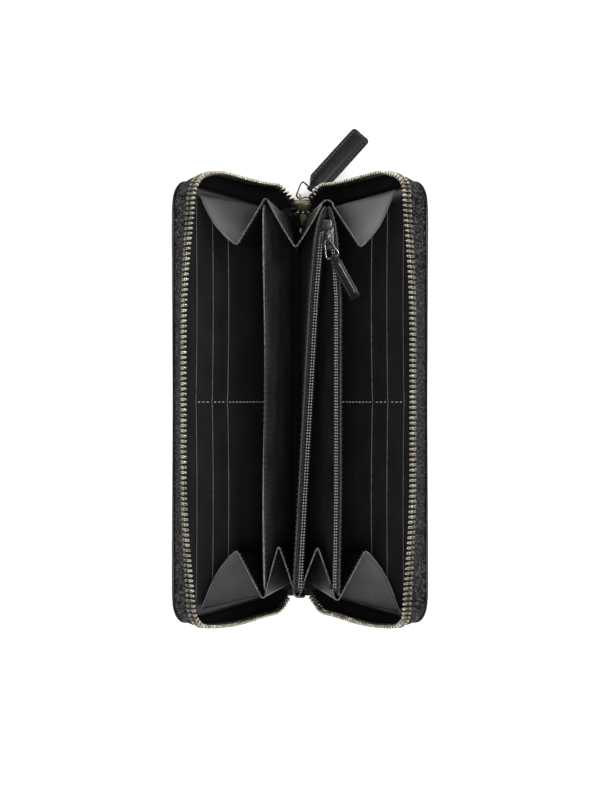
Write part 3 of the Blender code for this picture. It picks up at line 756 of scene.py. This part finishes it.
def divider():
    """The leaf between the left bill compartment and the middle one, with its top seam on both faces."""
    top, half, shift = 78.6, 86.8, 1.9
    reach = corner_rows(0.5, top, 5.0, 24, 8)
    u = np.linspace(-1, 1, 80)
    y = half_width(reach, half, top, 5.0)[:, None] * u[None, :] + shift
    points = leaf_point(-DIVIDER_LEAN, -1, y, reach[:, None])
    points[..., 0] += 0.35 * np.sin(u * 4.2 + 0.7)[None, :] * smooth(reach / top)[:, None]
    leaf = sheet("divider_leaf", points, 0.8, SHEEN_LIT_HIDE, EDGE_PAINT_AND_HIGHLIGHT, bevel=0.4)
    ride(leaf, "divider_leaf", "leather", "divider")
    for name, way in (("divider_seam_out", -1), ("divider_seam_in", 1)):
        y = np.linspace(-82, 82, 200)
        line = leaf_point(-DIVIDER_LEAN, -1, y, 76.4)
        line[:, 0] += 0.35 * np.sin((y - shift) / half * 4.2 + 0.7) + way * 0.45
        ride(stitches(name, line, (way, 0, 0.1), THREAD, 2.6, 1.9, 0.2), "divider_leaf", "leather")


WALL_TOP = 81.0
COIL_END = 75.0


def wall_top(y):
    """X of the coin pocket's left wall at its mouth."""
    return np.interp(y, [-86, 46, 72, 79, 84, 86.5], [-3.0, 4.4, 6.6, 8.0, 9.6, 11.2])


def coin_top(y):
    """X of the coin pocket's right wall at its mouth."""
    return np.interp(y, [-86, -40, 46, 72, 79, 84, 86.5], [17.3, 18.0, 18.0, 16.4, 15.4, 14.2, 12.8])


def wall_weight(y):
    """Share of the right wall's turn that the left wall follows."""
    return 0.42 * np.clip((np.asarray(y, float) + 86) / 170, 0, 1)


def coin_pocket():
    """The coin pocket's walls and its zip along both walls."""
    y = np.r_[np.linspace(-85.6, 78.0, 64), np.linspace(79.0, 86.5, 10)]
    v = np.r_[np.linspace(0, 0.92, 16), np.linspace(0.95, 1, 5)][:, None]
    for word, top, foot, power in (("left", wall_top, 0.2, 0.92), ("right", coin_top, LEAF_X + 0.3, 1)):
        points = spread(foot + (top(y) - foot) * v ** power, y, 2.8 + WALL_TOP * v)
        leaf = sheet("coin_wall_" + word + "_leaf", points, 0.7, SHEEN_LIT_HIDE, DARK_EDGE, bevel=0.4)
        follow_wall(leaf, word, "leather", "coin_wall_" + word)
    coin_zip_side("left", wall_top, 1, 1.0)
    coin_zip_side("right", coin_top, -1, 0.8)


def follow_wall(obj, word, slot, *stands_for):
    """Ties a piece of the coin pocket's right side to the coin wall's body; a left-side piece only has its
    placement baked in.
    """
    if word == "right":
        ride(obj, "coin_wall", slot, *stands_for)
    else:
        bend(obj, "core", "coin_wall", wall_weight(points_of(obj)[:, 1]), slot, *stands_for)


def coin_zip_side(word, top, way, wide):
    """Tape, nylon coil and seams along one wall of the coin pocket."""
    y = np.linspace(-84, 86, 160)
    across = np.linspace(0, 1, 5)
    room = np.clip((coin_top(y) - wall_top(y)) / 2 - 0.35, 0.3, 2.2 * wide)
    x = top(y)[:, None] + way * (0.15 + room[:, None] * across)
    points = spread(x, y[:, None], 82.6 + 2.6 * np.sin(across * math.pi / 2))
    uv = spread(y[:, None], across * 3.4)
    band = sheet("coin_tape_band_" + word, points[:, ::way], 0.5, COIN_TAPE, COIN_TAPE, uv[:, ::way], 0)
    follow_wall(band, word, "tape", "coin_tape_" + word)

    turns = np.arange(-83.0, COIL_END, COIL_PITCH / 14)
    angle = turns / COIL_PITCH * 2 * math.pi
    x = top(turns) + way * 2.7 * wide + 1.15 * wide * np.cos(angle)
    path = spread(x, turns, 86.0 + 0.65 * np.sin(angle))
    coil = tube("coin_coil_" + word + "_turns", path, 0.3, NYLON, around=7, up=(0.1, 1.0, 0.2))
    follow_wall(coil, word, "coil", "coin_coil_" + word)

    wall = np.linspace(-83, 83, 200)
    chain = np.linspace(-82, COIL_END, 200)
    sew = (0.0, 0.0, 1.0)
    for name, y, shift, z, normal, mat, pitch, length, radius in (
        ("coin_seam_", wall, -0.45, 81.6, (-way, 0, 0.15), THREAD, 2.4, 1.8, 0.18),
        ("coin_tape_seam_", wall, 0.8, 84.5, (way * 0.3, 0, 1), THREAD, 2.0, 1.5, 0.16),
        # These two rows over the coil are its sewing thread, lightened to stand in for its highlights:
        # painted highlight.
        ("coin_coil_seam_0_", chain, 2.15 * wide, 86.85, sew, GREY_THREAD_AND_HIGHLIGHT, COIL_PITCH, 0.75, 0.23),
        ("coin_coil_seam_1_", chain, 3.2 * wide, 86.85, sew, GREY_THREAD_AND_HIGHLIGHT, COIL_PITCH, 0.75, 0.23),
    ):
        line = spread(top(y) + way * shift, y, z)
        follow_wall(stitches(name + word, line, normal, mat, pitch, length, radius), word, "leather")


# ---------------------------------------------------------------- gussets
GUSSET_TOP = 80.4
GUSSET_FOOT = 3.2
ROUND_STEPS = 5


def round_end(place, radius, end, near):
    """Quarter round over a leaf's end: down from its apex, or up to it."""
    turn = np.linspace(0, math.pi / 2, ROUND_STEPS)
    way = 1 if near else -1
    x = place[0] + way * radius * np.sin(turn)
    y = place[1] + end * radius * (np.cos(turn) - 1)
    arc = np.stack([x, y, np.full(ROUND_STEPS, place[2])], 1)
    return arc if near else arc[::-1]


def gusset_row(near, fold, far, end, swell_near, swell_far):
    """One level of a fold, from leaf end to leaf end; near and far are (place, radius)."""
    first = round_end(*near, end, True) if near[1] else near[0][None]
    last = round_end(*far, end, False) if far[1] else far[0][None]
    u = np.linspace(0, 1, 15)[1:, None]
    left = first[-1] + (fold - first[-1]) * u
    right = fold + (last[0] - fold) * u[:-1]
    bulge = np.sin(math.pi * u)
    left[:, 1] -= end * swell_near * bulge[:, 0]
    left[:, 0] -= 0.5 * swell_near * bulge[:, 0]
    right[:, 1] -= end * swell_far * bulge[:-1, 0]
    right[:, 0] += 0.5 * swell_far * bulge[:-1, 0]
    row = np.vstack([first, left, right, last])
    middle = len(first) + len(left) - 1
    before, at, after = (row[middle + k - 1:middle + k + 2] for k in (-1, 0, 1))
    row[middle - 1:middle + 2] = 0.25 * before + 0.5 * at + 0.25 * after
    return row, middle


def gusset_layout(end):
    """Gussets at one end: tops where they meet each leaf, tips of their folds, and their feet."""
    z = GUSSET_TOP
    if end > 0:
        leaves = [((-45.2, 93.6, 76.0), 0), ((-15.4, 90.4, z), 1.1), ((12.2, 90.0, z - 1.0), 2.7)]
        leaves += [((42.4, 95.0, 76.0), 0)]
        folds = [(-28.3, 69.6, z), (-2.0, 68.4, z), (27.0, 68.6, z)]
        feet = {1: (-7.4, -LEAF_X), 2: (-LEAF_X, 2.0), 4: (2.0, 7.4)}
        return leaves, folds, feet
    leaves = [((-44.0, 92.7, 76.0), 0), ((-16.6, 87.0, z), 1.1), ((-1.2, 86.6, z), 1.1)]
    leaves += [((16.6, 88.0, z), 1.3), ((44.8, 94.6, 76.0), 0)]
    folds = [(-28.2, 65.7, z), (-9.6, 63.6, z), (7.8, 64.2, z), (29.2, 65.6, z)]
    feet = {1: (-7.4, -LEAF_X), 2: (-LEAF_X, 0.0), 3: (0.0, LEAF_X), 4: (LEAF_X, 7.4)}
    return leaves, folds, feet


def gussets():
    """The folded gussets that close the compartments at both ends."""
    for word, end in (("bottom", -1), ("top", 1)):
        leaves, folds, feet = gusset_layout(end)
        mirror = np.array([1, end, 1])
        sewn = 96.0 if end > 0 else 95.0
        for k, (number, (low_near, low_far)) in enumerate(feet.items()):
            swell = {1: (2.4, 0.0), 4: (0.0, 2.4)}.get(number, (0.3, 0.3))
            edges = (sewn if number == 1 else 91.0, sewn if number == 4 else 91.0)
            rows = []
            for v in np.linspace(0, 1, 26):
                level = []
                for (place, radius), low, edge in zip(leaves[k:k + 2], (low_near, low_far), edges):
                    foot = np.array([low, end * edge, GUSSET_FOOT])
                    level.append((foot + (place * mirror - foot) * v, radius * (0.6 + 0.4 * v)))
                foot = np.array([(low_near + low_far) / 2, end * 74.0, GUSSET_FOOT])
                hollow = 0.9 * math.sin(math.pi * v)
                fold = foot + (folds[k] * mirror - foot) * v + np.array([0, end * hollow, 0])
                sides = [w * (0.2 + 0.8 * v) for w in swell]
                row, middle = gusset_row(level[0], fold, level[1], end, *sides)
                rows.append(row)
            gusset_finish(word, end, number, np.array(rows), middle)
    inner_fold()


def inner_fold():
    """The small fold shut between the coin pocket's walls, below its zip."""
    rows = []
    for v in np.linspace(0, 1, 18):
        near = np.array([1.2 + 7.6 * v, 88.0 - 3.6 * v, GUSSET_FOOT + 72.0 * v])
        far = np.array([LEAF_X - 0.6 + 9.2 * v, 88.0 - 3.6 * v, GUSSET_FOOT + 72.0 * v])
        fold = (near + far) / 2 - np.array([0, 5.0 - 1.5 * v, 0])
        row, middle = gusset_row((near, 0), fold, (far, 0), 1, 0.2, 0.2)
        rows.append(row)
    gusset_finish("top", 1, 3, np.array(rows), middle)


def gusset_finish(word, end, number, points, middle):
    """Makes a gusset's sheet with its seams, and bakes their placement into their meshes."""
    run = run_along(points[-1])
    share = run / run[-1]
    low = float(wall_weight(end * 86))
    node_name = "gusset_" + word + "_" + str(number)
    whole = slice(None)
    inner = low * (share - share[middle]) / (1 - share[middle])
    parts = {
        1: [("", whole, "left_cover", 1 - (1 - DIVIDER_SHARE) * share)],
        2: [
            ("", slice(0, middle + 1), "divider_leaf", 1 - share / share[middle]),
            ("_inner", slice(middle, None), "coin_wall", inner),
        ],
        3: [("", whole, "coin_wall", low + (1 - low) * share)],
        4: [("", whole, "right_cover", COIN_SHARE + (1 - COIN_SHARE) * share)],
    }[number]
    # The bottom end's gussets take the less shiny copy of the leather: painted shade.
    hide = SHADED_GUSSET_HIDE if end < 0 else GUSSET_HIDE
    for tag, span, body, weight in parts:
        grid, w = points[:, span], weight[span]
        fold = sheet(node_name + "_fold" + tag, grid[:, ::end], 0.46, hide, EDGE_PAINT_AND_HIGHLIGHT, bevel=0.35)
        stands_for = () if tag else (node_name,)
        bend(fold, "core", body, np.tile(w[::end], len(grid)), "leather", *stands_for)
        if number in (1, 4):
            column, inner = (0, 2) if number == 1 else (-1, -3)
            line = grid[3:-1, column] + unit(grid[3:-1, inner] - grid[3:-1, column]) * 1.6
            line = resample(line + np.array([0, end * 0.35, 0]), 120)
            seam = stitches(node_name + "_sewn", line, (0, end, 0.1), SEAM_THREAD, 1.9, 1.3, 0.24)
            bend(seam, "core", body, np.full(len(seam.data.vertices), w[column]), "leather")
        line = grid[-1] + (grid[-2] - grid[-1]) * 0.35
        dense = resample(line, 160)
        face = unit(np.cross(frames_along(dense), np.array([0, 0, 1.0])))
        for way in (-1, 1):
            name = node_name + "_seam" + str(way + 1) + tag
            seam = stitches(name, dense + face * 0.23 * way, face * way, SEAM_THREAD, 1.9, 1.2, 0.17)
            gap = np.linalg.norm(points_of(seam)[:, None, :] - line[None, :, :], axis=2)
            bend(seam, "core", body, w[np.argmin(gap, axis=1)], "leather")


# ---------------------------------------------------------------- sliders, rings and pulls
def block(name, outline, low, high, mat, bevel=0.3, segments=3):
    """An outline in XY extruded between two heights, with rounded edges."""
    outline = np.asarray(outline, float)
    n = len(outline)
    verts = np.vstack([np.c_[outline, np.full(n, low)], np.c_[outline, np.full(n, high)]])
    faces = [tuple(range(n - 1, -1, -1)), tuple(range(n, 2 * n))]
    faces += [(i, (i + 1) % n, n + (i + 1) % n, n + i) for i in range(n)]
    obj = mesh_object(name, verts, faces, (mat,))
    mod = obj.modifiers.new("edge", "BEVEL")
    mod.width = bevel * MM
    mod.segments = segments
    mod.limit_method = "ANGLE"
    bpy.context.view_layer.update()
    graph = bpy.context.evaluated_depsgraph_get()
    mesh = bpy.data.meshes.new_from_object(obj.evaluated_get(graph))
    obj.modifiers.clear()
    obj.data = mesh
    mesh.shade_smooth()
    return obj


def shield(half, mouth, tail, count=28):
    """Outline of a slider's plate, wide at the mouth (+Y), narrow at the tail."""
    corners = [(0, half), (mouth * 0.62, half), (mouth, half * 0.62), (mouth * 0.96, 0)]
    corners += [(tail, -half * 0.62), (tail * 0.55, -half), (0, -half)]
    right = curve_through(corners, count)
    left = right[1:-1][::-1] * np.array([-1, 1])
    return np.vstack([right, left])[::-1]


def transform(obj, matrix):
    """Moves a mesh's points by a matrix, in millimetres."""
    co = points_of(obj) @ matrix[:3, :3].T + matrix[:3, 3]
    obj.data.vertices.foreach_set("co", (co * MM).astype(np.float32).ravel())
    obj.data.update()


def frame_matrix(x, y, z, origin):
    """Placement with the given axes and origin."""
    m = np.eye(4)
    m[:3] = np.array([x, y, z, origin], float).T
    return m


def slider_body(name, mat, plate, space, thick, bail, barrel=0.0):
    """A zip slider lying in XY, mouth towards +Y: two plates, their lips, and the bar for its pull."""
    half, mouth, tail = plate
    top = space + thick
    outline = shield(half, mouth, tail)
    parts = [block(name, outline, space, top, mat, thick * 0.42)]
    parts.append(block(name + "_under", outline, -top, -space, mat, thick * 0.42))
    ridge = shield(half * 0.62, mouth * 0.42, tail * 0.34)
    parts.append(block(name + "_ridge", ridge, top - 0.05, top + 0.28, mat, 0.2, 2))
    wedge = [(0.45, half - 0.9), (-0.45, half - 0.9), (-0.3, half - 2.9), (0.3, half - 2.9)]
    parts.append(block(name + "_wedge", wedge, -space, space, mat, 0.12, 2))
    for way in (-1, 1):
        line = [(way * tail, -half * 0.8), (way * mouth * 0.97, half * 0.3)]
        inner = [(way * (mouth * 0.97 - 0.55), half * 0.3), (way * (tail - 0.6), -half * 0.8)]
        lip = np.array(line + inner)[::way]
        for face in (-1, 1):
            low, high = sorted((face * space * 0.42, face * (space + 0.1)))
            parts.append(block(name + "_lip", lip, low, high, mat, 0.1, 2))
    radius, height, span, wide = bail
    crown = top + height
    middle = 1.7 if barrel else 0.0
    arch = [(-span, top - 0.2), (-span, crown - 0.9), (-span * 0.62, crown)]
    arch = [(0, middle + y, z) for y, z in arch + [(-y, z) for y, z in arch[::-1]]]
    swell = radius * np.r_[np.linspace(1.25, 1, 8), np.ones(24), np.linspace(1, 1.25, 8)]
    parts.append(tube(name + "_bail", curve_through(arch, 40), swell, mat, up=(1, 0, 0), squash=wide))
    for way in (-1, 1):
        foot = shield(1.1, 0.75, 0.75, 12) + [0, middle + way * span]
        parts.append(block(name + "_foot", foot, top - 0.1, top + 0.7, mat, 0.25, 2))
    if barrel:
        drum = [(-2.1, -6.4), (2.1, -6.4), (2.3, -2.2), (-2.3, -2.2)]
        parts.append(block(name + "_barrel", drum, top - 0.4, top + barrel, mat, 1.15, 7))
    return merge(name, parts)


def wire_ring(word, ring, wire, mat):
    """A pull's wire ring in XY: round at its bar, square where the leather hangs."""
    narrow, wide, length = ring
    far = length - narrow
    loop = [(narrow * math.cos(t), narrow * math.sin(t), 0) for t in np.radians(np.linspace(115, 245, 7))]
    loop += [(far * 0.55, -wide * 0.88, 0), (far - 0.7, -wide, 0), (far, -wide + 0.7, 0), (far, 0, 0)]
    loop += [(far, wide - 0.7, 0), (far - 0.7, wide, 0), (far * 0.55, wide * 0.88, 0)]
    closed = curve_through(loop + loop[:1], 72)[:-1]
    return tube(word + "_pull_wire", closed, wire, mat, closed=True, around=12)


def pull_parts(word, far, tab, thick, corner, pitch):
    """A leather pull drawn along +X from its ring's far bar: strap, cuff and seams."""
    reach, neck, width, shoulder = tab
    x = np.r_[np.linspace(0, shoulder, 9, endpoint=False), corner_rows(shoulder, reach, corner, 30, 9)]
    widths = [neck / 2, neck / 2 + 0.2, width / 2, width / 2]
    half = np.interp(x, [0, shoulder * 0.25, shoulder, reach], widths)
    over = np.clip(x - (reach - corner), 0, corner)
    half = half - corner + np.sqrt(np.maximum(corner ** 2 - over ** 2, 0))
    u = np.linspace(-1, 1, 25)[None, :]
    ends = (smooth((x - 1.0) / shoulder) * smooth((reach - x) / 2.5))[:, None]
    dome = ends * thick * 0.26 * smooth((1 - np.abs(u)) / 0.75)
    dome = dome - ends * thick * 0.1 * np.exp(-((np.abs(u) - 0.74) / 0.07) ** 2)
    points = spread(x[:, None] + far, half[:, None] * u, dome)
    points[..., 2] += 0.25 * np.sin(points[..., 0] / reach * 2.6)
    strap = sheet(word + "_pull_strap", points[:, ::-1], thick * 0.8, PULL_HIDE, DARK_EDGE, bevel=0.3)
    label(strap, "leather", word + "_pull_tab")
    bent = np.linspace(-2.2, 2.2, 12)
    roll = thick * 0.36
    fold = spread(far - roll * np.cos(bent) * 1.1, 0.0, roll * np.sin(bent))
    wrap = np.stack([fold + [0, y, 0] for y in np.linspace(-neck / 2, neck / 2, 6)])
    parts = [strap, sheet(word + "_pull_cuff", wrap, thick * 0.3, PULL_HIDE, DARK_EDGE, bevel=0.2)]
    px = np.linspace(shoulder * 0.5, reach - 1.6, 60)
    edge = np.interp(px, x, half) * 0.75
    wave_z = 0.25 * np.sin((px + far) / reach * 2.6)
    for way in (-1, 1):
        for face in (-1, 1):
            path = spread(px + far, way * edge, face * thick * 0.4 + wave_z)
            name = word + "_pull_seam_" + str(way + 1) + str(face + 1)
            seam = stitches(name, path, (0, 0, face), SEAM_THREAD, pitch, pitch * 0.7, 0.2 * thick / 2.2)
            parts.append(seam)
    return parts


def pull(word, prefix, matrix, ring, wire, mat, turn, slip, tab, thick, corner, pitch):
    """Wire ring and leather pull; the pull is turned and slipped on the ring's far bar."""
    hoop = wire_ring(word, ring, wire, mat)
    transform(hoop, matrix)
    ride(hoop, prefix + "_ring", "nickel", word + "_pull_ring")
    far = ring[2] - ring[0]
    c, s = math.cos(turn), math.sin(turn)
    swing = np.eye(4)
    swing[:2, :2] = [[c, -s], [s, c]]
    swing[:2, 3] = [far - c * far, slip - s * far]
    for obj in pull_parts(word, far, tab, thick, corner, pitch):
        transform(obj, matrix @ swing)
        ride(obj, prefix + "_tab", "leather")


def hood():
    """Bell of the main slider over its mouth with a row of painted glints, and the tongue of closed chain
    tape below it with a painted glint at its end.
    """
    spine = [(1.1, 98.9, 17.2), (1.1, 98.3, 17.9), (1.2, 97.0, 18.0), (1.3, 95.3, 17.6), (1.4, 93.8, 16.8)]
    spine.append((1.5, 92.6, 15.4))
    size = [(4.1, 1.5), (4.6, 1.9), (4.6, 2.1), (4.3, 2.2), (3.3, 2.1), (2.1, 1.7)]
    levels, around = 24, 32
    turn = np.linspace(0, 2 * math.pi, around, endpoint=False)
    across, deep = np.array([1.0, 0, 0]), unit(np.array([0, 0.35, 1.0]))
    rings = [
        place + wide * np.outer(np.cos(turn), across) + tall * np.outer(np.sin(turn), deep)
        for place, (wide, tall) in zip(curve_through(spine, levels), curve_through(size, levels))
    ]
    faces = [f[::-1] for f in grid_faces(levels, around, False, True)]
    faces.append(tuple(range(around)))
    faces.append(tuple(range(levels * around - 1, (levels - 1) * around - 1, -1)))
    bell = mesh_object("zip_slider_hood", np.vstack(rings), faces, (BRASS,))
    # A row of pale dots along the bell's lower edge: painted glints.
    low = curve_through([(-3.9, 0, 0), (-1.6, -0.4, 0.6), (1.6, -0.4, 0.6), (3.9, 0, 0)], 30)
    glint_dots = stitches("zip_slider_glint_dots", low + [1.5, 94.0, 18.2], (0, -0.2, 1), PALE_GLINT, 2.3, 0.9, 0.36)
    path = curve_through([(1.4, 95.0, 15.6), (1.6, 92.0, 15.2), (2.1, 89.0, 13.6), (2.7, 85.6, 10.5)], 40)
    stem = tube("chain_tongue", path, np.linspace(2.0, 1.15, 40), TONGUE, around=16, squash=0.8)
    # A pale blob at the tongue's end: painted glint.
    path = [(0.1, 86.8, 10.6), (0.7, 85.2, 10.4), (1.7, 82.8, 9.6)]
    tip = tube("chain_tongue_end", path, [0.4, 0.9, 0.2], PALE_GLINT, around=10)
    for obj, body in ((bell, "main_slider"), (glint_dots, "main_slider"), (stem, "core"), (tip, "core")):
        ride(obj, body, "gold")


def lying(yaw, drop, origin):
    """Placement of a pull that points along a heading, dipping by a little."""
    ahead = np.array([math.cos(yaw) * math.cos(drop), math.sin(yaw) * math.cos(drop), -math.sin(drop)])
    across = np.array([-math.sin(yaw), math.cos(yaw), 0])
    return frame_matrix(ahead, across, np.cross(ahead, across), origin)


def fittings():
    """Both sliders with their pulls."""
    chain_y = HALF - ZIP_INSET
    slider = slider_body("zip_slider_shell", BRASS, (5.0, 4.5, 3.7), 1.4, 1.1, (0.55, 2.9, 3.2, 1.0))
    transform(slider, frame_matrix((-1, 0, 0), (0, 0, 1), (0, 1, 0), (0, chain_y, 13.0)))
    ride(slider, "main_slider", "gold", "zip_slider")
    matrix = lying(math.radians(45), math.radians(12), (0, chain_y + 5.4, 13.0))
    turn, slip = math.radians(4), -2.0
    tab = (40.0, 4.4, 10.6, 5.5)
    # The main pull's ring takes the darker copy of the nickel: painted shade.
    pull("zip", "main", matrix, (1.7, 4.0, 8.0), 0.4, SHADED_NICKEL, turn, slip, tab, 2.4, 2.0, 2.0)

    slider = slider_body("coin_slider_shell", GUNMETAL, (6.2, 2.7, 2.5), 1.25, 0.7, (0.4, 2.0, 2.6, 1.9), 1.5)
    transform(slider, frame_matrix((-1, 0, 0), (0, -1, 0), (0, 0, 1), (12.3, 73.4, 85.8)))
    ride(slider, "coin_runner", "dark_metal", "coin_slider")
    matrix = lying(math.radians(-70), 0.0, (12.3, 69.6, 88.75))
    turn, slip = math.radians(9), 0.0
    tab = (20.4, 2.8, 4.6, 2.6)
    pull("coin", "coin", matrix, (1.3, 2.8, 7.8), 0.32, NICKEL, turn, slip, tab, 1.3, 0.5, 1.7)
    side = [(11.3, 75.2, 88.0), (10.1, 74.4, 88.3), (9.9, 72.5, 88.4), (9.5, 70.6, 88.3), (10.3, 68.9, 87.9)]
    loop = tube("coin_slider_loop", curve_through(side, 30), 0.28, GUNMETAL, around=8)
    ride(loop, "coin_runner", "dark_metal")


def chain_ends():
    """The closed length of chain behind the main slider, turned in over the spine."""
    path = curve_through([(0.4, 97.2, 7.8), (0.5, 97.0, 5.8), (0.7, 96.0, 4.6), (0.9, 94.0, 4.0)], 200)
    run = run_along(path)
    places = []
    for i in range(int(run[-1] / (TOOTH_PITCH / 2))):
        at = (i + 0.5) * TOOTH_PITCH / 2
        flow = unit(point_at(at + 0.3, run, path) - point_at(at - 0.3, run, path))
        head = np.array([1.0 if i % 2 else -1.0, 0, 0])
        places.append((point_at(at, run, path) - head, flow, head, [0.82, 1, 0.9]))
    teeth = row_of_teeth("chain_tail_teeth", places, GOLD)
    ride(teeth, "core", "gold", "chain_tail_top")
    across = np.linspace(0, 1, 4)[None, :]
    line = path[::6, None, :]
    uv = spread(run[::6][:, None], across * 4)
    for word, way in SIDES:
        grid = line + np.array([way, 0, 0]) * (2.0 + 4.2 * across[..., None])
        grid[..., 2] = line[..., 2] - 0.2
        tape = sheet("tail_tape_" + word, grid[:, ::-way], 0.5, TAPE, TAPE, uv[:, ::-way], 0)
        ride(tape, "core", "tape")


def funnel():
    """The two tapes gathered together below the main slider."""
    u = np.linspace(-1, 1, 15)[None, :]
    v = np.linspace(0, 1, 9)[:, None]
    points = spread(7.2 * u, 96.4 + 3.6 * v - 0.7 * u ** 2, 6.6 + 5.0 * v ** 2 + 1.2 * u ** 2)
    # Its back face takes the near-black lining: painted shade.
    tape = sheet("chain_funnel_tape", points, 0.5, TAPE, TAPE, spread(14.0 * u, 6.0 * v), 0, LINING_AND_SHADE)
    ride(tape, "core", "tape")


def bottom_chain_end():
    """The lower chain's closed end: a tape tail tucked in over the spine, with a metal stop."""
    path = [(0, -97.3, 12.0), (0, -97.4, 7.0), (0, -96.0, 4.4), (0, -92.5, 3.6), (0, -89.0, 3.4)]
    path = curve_through(path, 30)
    across = np.linspace(-2.6, 2.6, 7)[None, :]
    grid = path[:, None, :] + across[..., None] * np.array([1.0, 0, 0])
    uv = spread(run_along(path)[:, None], across)
    tail = sheet("chain_tail_tape", grid[:, ::-1], 0.9, TAPE, TAPE, uv[:, ::-1], 0)
    ride(tail, "core", "tape", "chain_tail_bottom")
    path = [(-1.9, -97.3, 11.0), (-1.0, -97.4, 11.0), (1.0, -97.4, 11.0), (1.9, -97.3, 11.0)]
    ride(tube("chain_tail_stop", path, 0.9, BRASS), "core", "gold")


def spine_inside():
    """Lining over the spine, and the hidden pieces that keep their CAD shape."""
    y = np.linspace(-95.5, 95.5, 60)[:, None]
    x = np.linspace(-10.5, 10.5, 14)
    points = spread(x, y, 1.75 + 0.9 * (np.abs(x) / 10.5) ** 4)
    floor = sheet("spine_inside_panel", points, 0.5, LINING_AND_SHADE, DARK_EDGE, bevel=0.3)
    ride(floor, "core", "lining", "spine_lining")
    coat("coin_floor", LINING_AND_SHADE)
    coat("coin_stop", GUNMETAL)


# ---------------------------------------------------------------- studio
def studio():
    """Pale floor, sky, lamps and camera."""
    scene = bpy.context.scene
    size = 40.0
    mesh = bpy.data.meshes.new("floor")
    corners = [(-size, -size, 0), (size, -size, 0), (size, size, 0), (-size, size, 0)]
    mesh.from_pydata(corners, [], [(0, 1, 2, 3)])
    mesh.materials.append(material("pale_floor", (0.96, 0.96, 0.96), 0.8)[0])
    floor = bpy.data.objects.new("floor", mesh)
    floor.location.z = -0.0001
    scene.collection.objects.link(floor)

    world = bpy.data.worlds.new("studio")
    scene.world = world
    world.use_nodes = True
    tree = world.node_tree
    back = tree.nodes["Background"]
    parts = node(tree, "ShaderNodeSeparateXYZ")
    tree.links.new(node(tree, "ShaderNodeTexCoord").outputs["Generated"], parts.inputs[0])
    glossy = node(tree, "ShaderNodeLightPath").outputs["Is Glossy Ray"]
    # Even white for diffuse light; reflections see it fade upwards and towards the bottom end
    sky = map_range(tree, parts.outputs[2], 0.15, 0.9, 0.85, 0.10)
    shade = map_range(tree, parts.outputs[1], 0.0, -0.7, 1.0, 0.22)
    even = math_node(tree, "SUBTRACT", 1.0, glossy)
    tree.links.new(math_node(tree, "MAXIMUM", times(tree, sky, shade), even), back.inputs["Strength"])
    back.inputs["Color"].default_value = (1, 1, 1, 1)
    for name, place, energy, wide in (
        ("key", (-0.75, 0.95, 0.95), 0.9, 0.9),
        ("fill", (0.95, 0.55, 0.95), 0.9, 0.9),
        ("front", (0.15, -1.2, 0.9), 1.8, 0.9),
        ("top", (0.0, -0.15, 1.0), 8.0, 0.35),
        ("glint", (0.34, 0.30, 0.95), 1.6, 0.12),
    ):
        light = bpy.data.lights.new(name, "AREA")
        light.energy = energy
        light.size = wide
        lamp = bpy.data.objects.new(name, light)
        lamp.location = place
        lamp.rotation_euler = (Vector((0, 0, 0.03)) - Vector(place)).to_track_quat("-Z", "Y").to_euler()
        lamp.visible_glossy = name != "top"
        scene.collection.objects.link(lamp)
    camera = bpy.data.cameras.new("camera")
    camera.lens = 55.96
    camera.sensor_width = 36.0
    camera.clip_start = 0.01
    eye = bpy.data.objects.new("camera", camera)
    eye.location = (0, 0.0007, 0.634)
    scene.collection.objects.link(eye)
    scene.camera = eye
    scene.view_settings.view_transform = "Standard"


spine_inside()
for word, side in SIDES:
    outer_leather(word, side)
    cover_panels(word, side)
    zip_side(word, side)
divider()
coin_pocket()
gussets()
chain_ends()
funnel()
bottom_chain_end()
hood()
fittings()
studio()
